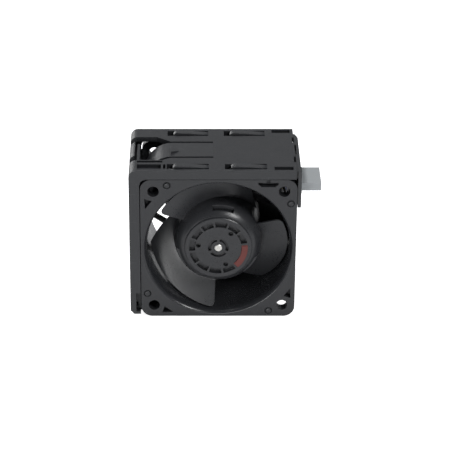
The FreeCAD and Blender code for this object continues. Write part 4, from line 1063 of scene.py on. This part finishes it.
def hub_cutters(target):
    for k in range(POCKET_COUNT):
        sector(target, middle=POCKET_START - 360.0 / POCKET_COUNT * k, **POCKET)
    for turn in (360.0 / THIRDS * k for k in range(THIRDS)):
        drum(target, degrees=HOLE_START + turn, **TOOL_HOLE)
        sector(target, middle=COLLAR_START + turn, **COLLAR_SLOT)
        sector(target, middle=SLOT_START + turn, **SHOULDER_SLOT)
    for degrees in DIMPLE_ANGLES:
        drum(target, degrees=degrees, **DIMPLE)


print("hub cuts:", POCKET_COUNT + 3 * THIRDS + len(DIMPLE_ANGLES))

# %% The impeller in one piece
IMPELLER_EDGE = 0.16 * MM
hub_mesh = combine(mesh_of("hub", hub_body), mesh_of("hub_cutters", hub_cutters), "DIFFERENCE")
hub_mesh = rounded_mesh(hub_mesh, IMPELLER_EDGE, 2, 30)
blades = rounded_mesh(blades, IMPELLER_EDGE, 3, 40)
impeller_mesh = combine(hub_mesh, blades, "UNION")
add_piece("impeller_moulding", impeller_mesh, body_of_node["impeller"], blade_black,
          ["impeller"])
print("impeller:", len(impeller_mesh.polygons), "faces, material slots", len(impeller_mesh.materials))

# %% [markdown]
# ## Leads and contacts
# Each lead runs from its pad on the board, out along the lead arm, forward and up into the plug. The
# route is a line of corners, and every corner is turned into an arc.

# %% The route of a lead
ARM_ANGLE, LEAD_PITCH, PAD_R, PAD_Y, RUN_Y = 33.0, 1.4, 12.2, 26.2, 31.0
TURN_R, RISE_X, GRIP_X, PLUG_Z = 30.9, 24.9, 30.2, 23.05
BEND_SHARE = 0.4


def corners_of(k):
    """Corners of one lead, from the pad to the plug, in metres."""
    aside = at(LEAD_PITCH * (k - 1.5), ARM_ANGLE + 90, 0) - INLET
    pad, lift, out = (at(r, ARM_ANGLE, y) + aside
                      for r, y in ((PAD_R, PAD_Y), (PAD_R, RUN_Y), (TURN_R, RUN_Y)))
    ahead = Vector((out.x, at_plane(0, 0, CONTACT_YS[k]).y, out.z))
    rise, grip = (at_plane(x, PLUG_Z, CONTACT_YS[k]) for x in (RISE_X, GRIP_X))
    return [pad, lift, out, ahead, rise, grip]


def bent(corners, steps=8):
    """Replace each corner by a smooth arc."""
    points = [corners[0]]
    for before, corner, after in zip(corners, corners[1:], corners[2:]):
        back, ahead = before - corner, after - corner
        reach = BEND_SHARE * min(back.length, ahead.length)
        back.normalize()
        ahead.normalize()
        half = ahead.angle(back) / 2
        bisector = (back + ahead).normalized()
        arc_r = reach * math.tan(half)
        centre = corner + bisector * (arc_r / math.sin(half))
        first, last = corner + back * reach - centre, corner + ahead * reach - centre
        for step in range(steps + 1):
            points.append(centre + first.normalized().slerp(last.normalized(), step / steps) * arc_r)
    return points + [corners[-1]]


def route_mesh(k):
    points = bent(corners_of(k))
    mesh = bpy.data.meshes.new("route")
    mesh.from_pydata([tuple(p) for p in points], [(i, i + 1) for i in range(len(points) - 1)], [])
    return mesh


for k, y in enumerate(CONTACT_YS):
    route = bent(corners_of(k))
    length = sum((b - a).length for a, b in zip(route, route[1:]))
    print("lead to the contact at", y, "mm:", round(length / MM, 1), "mm long")

# %% [markdown]
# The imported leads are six-sided tubes, which show as facets from close by. A node group sweeps a rounder
# section along the same route: the mesh line becomes a curve, and the curve becomes a tube with closed
# ends.

# %% The sweep rule
sweep_inputs = [("Route", "Geometry"), ("Radius", "Float"), ("Sides", "Int"), ("Material", "Material")]
sweep_rule, swept, sweep_result = rule_tree("round_lead", sweep_inputs)
spine = sweep_rule.nodes.new("GeometryNodeMeshToCurve")
section = sweep_rule.nodes.new("GeometryNodeCurvePrimitiveCircle")
tube = sweep_rule.nodes.new("GeometryNodeCurveToMesh")
sweep_rule.links.new(swept["Route"], spine.inputs["Mesh"])
sweep_rule.links.new(swept["Sides"], section.inputs["Resolution"])
sweep_rule.links.new(swept["Radius"], section.inputs["Radius"])
sweep_rule.links.new(spine.outputs[0], tube.inputs["Curve"])
sweep_rule.links.new(section.outputs[0], tube.inputs["Profile Curve"])
tube.inputs["Fill Caps"].default_value = True
finish_rule(sweep_rule, sweep_result, tube.outputs[0], swept["Material"])
print("sweep rule:", len(sweep_rule.nodes), "nodes")

# %% The four leads
LEAD_R, LEAD_SIDES = 0.48, 20
LEADS = (("lead_black", cover_black), ("lead_blue", cover_blue), ("lead_yellow", cover_yellow),
         ("lead_red", cover_red))
for k, (node, colour) in enumerate(LEADS):
    values = {"Radius": LEAD_R * MM, "Sides": LEAD_SIDES, "Material": colour}
    mesh = grown_mesh(node + "_cover", sweep_rule, values, route_mesh(k))
    for face in mesh.polygons:
        face.use_smooth = len(face.vertices) == 4
    add_piece(node + "_cover", mesh, body_of_node[node], colour, [node])
    print(node, "->", len(mesh.polygons), "faces")

# %% [markdown]
# The contacts are one square pin, repeated in a row, so the rule is a mesh line with an instance on each
# point. The bevel comes after it, because it softens the pins' ends.

# %% The row of contacts
row_inputs = [("Count", "Int"), ("Pitch", "Vector"), ("First", "Vector"), ("Size", "Vector"),
              ("Material", "Material")]
row_rule, row, row_result = rule_tree("contact_row", row_inputs)
pin = row_rule.nodes.new("GeometryNodeMeshCube")
line = row_rule.nodes.new("GeometryNodeMeshLine")
repeat = row_rule.nodes.new("GeometryNodeInstanceOnPoints")
row_rule.links.new(row["Size"], pin.inputs["Size"])
row_rule.links.new(row["Count"], line.inputs["Count"])
row_rule.links.new(row["Pitch"], line.inputs["Offset"])
row_rule.links.new(line.outputs[0], repeat.inputs["Points"])
row_rule.links.new(pin.outputs["Mesh"], repeat.inputs["Instance"])
finish_rule(row_rule, row_result, repeat.outputs[0], row["Material"], row["First"])
PIN_START, PIN_LENGTH, PIN_WIDTH, PIN_EDGE = 33.5, 4.6, 0.64, 0.12
first_pin = at_plane(PIN_START + PIN_LENGTH / 2, PLUG_Z, CONTACT_YS[0])
row_values = {"Count": len(CONTACT_YS), "Pitch": Vector((0, CONTACT_YS[1] - CONTACT_YS[0], 0)) * MM,
              "First": first_pin, "Size": Vector((PIN_LENGTH, PIN_WIDTH, PIN_WIDTH)) * MM,
              "Material": contact_gold}
pins = rounded_mesh(grown_mesh("contacts", row_rule, row_values), PIN_EDGE * MM, 3)
add_piece("contacts_row", pins, body_of_node["plug_contacts"], contact_gold,
          ["plug_contacts"])
print("contacts:", len(pins.polygons), "faces")

# %% [markdown]
# The remaining solids already have the right shape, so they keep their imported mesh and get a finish.
# The solids that a moulding stands in for get theirs too, so that none of them is left plain. What
# the list doesn't name is a spring of the carrier.

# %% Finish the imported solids
finishes = {
    "rotor_yoke": yoke_steel, "magnet_ring": magnet_dark, "shaft": shaft_steel,
    "retaining_clip": spring_steel, "preload_spring": spring_steel,
    "bearing_outer_rings": bearing_steel, "bearing_inner_rings": bearing_steel,
    "front_bearing_balls": bearing_steel, "rear_bearing_balls": bearing_steel,
    "bearing_tube": tube_brass, "stator_core": core_steel, "front_insulator": insulator_black,
    "rear_insulator": insulator_black, "windings": coil_copper, "circuit_board": board_green,
    "driver_chip": chip_black, "hall_sensor": chip_black, "capacitors": sleeve_blue,
    "plug_contacts": contact_gold, "carrier_shell": carrier_black, "connector_plate": plate_black,
    "plug_housing": plug_grey, "fan_frame": frame_black, "guide_vanes": vane_black,
    "impeller": blade_black, "balance_putty": putty_red,
} | dict(LEADS)
for node, obj in frame["nodes"].items():
    material = finishes.get(node, spring_black)
    for place in obj.material_slots:
        place.material = material
    if not obj.material_slots:
        obj.data.materials.append(material)
print("finished", len(frame["nodes"]), "packed solids")
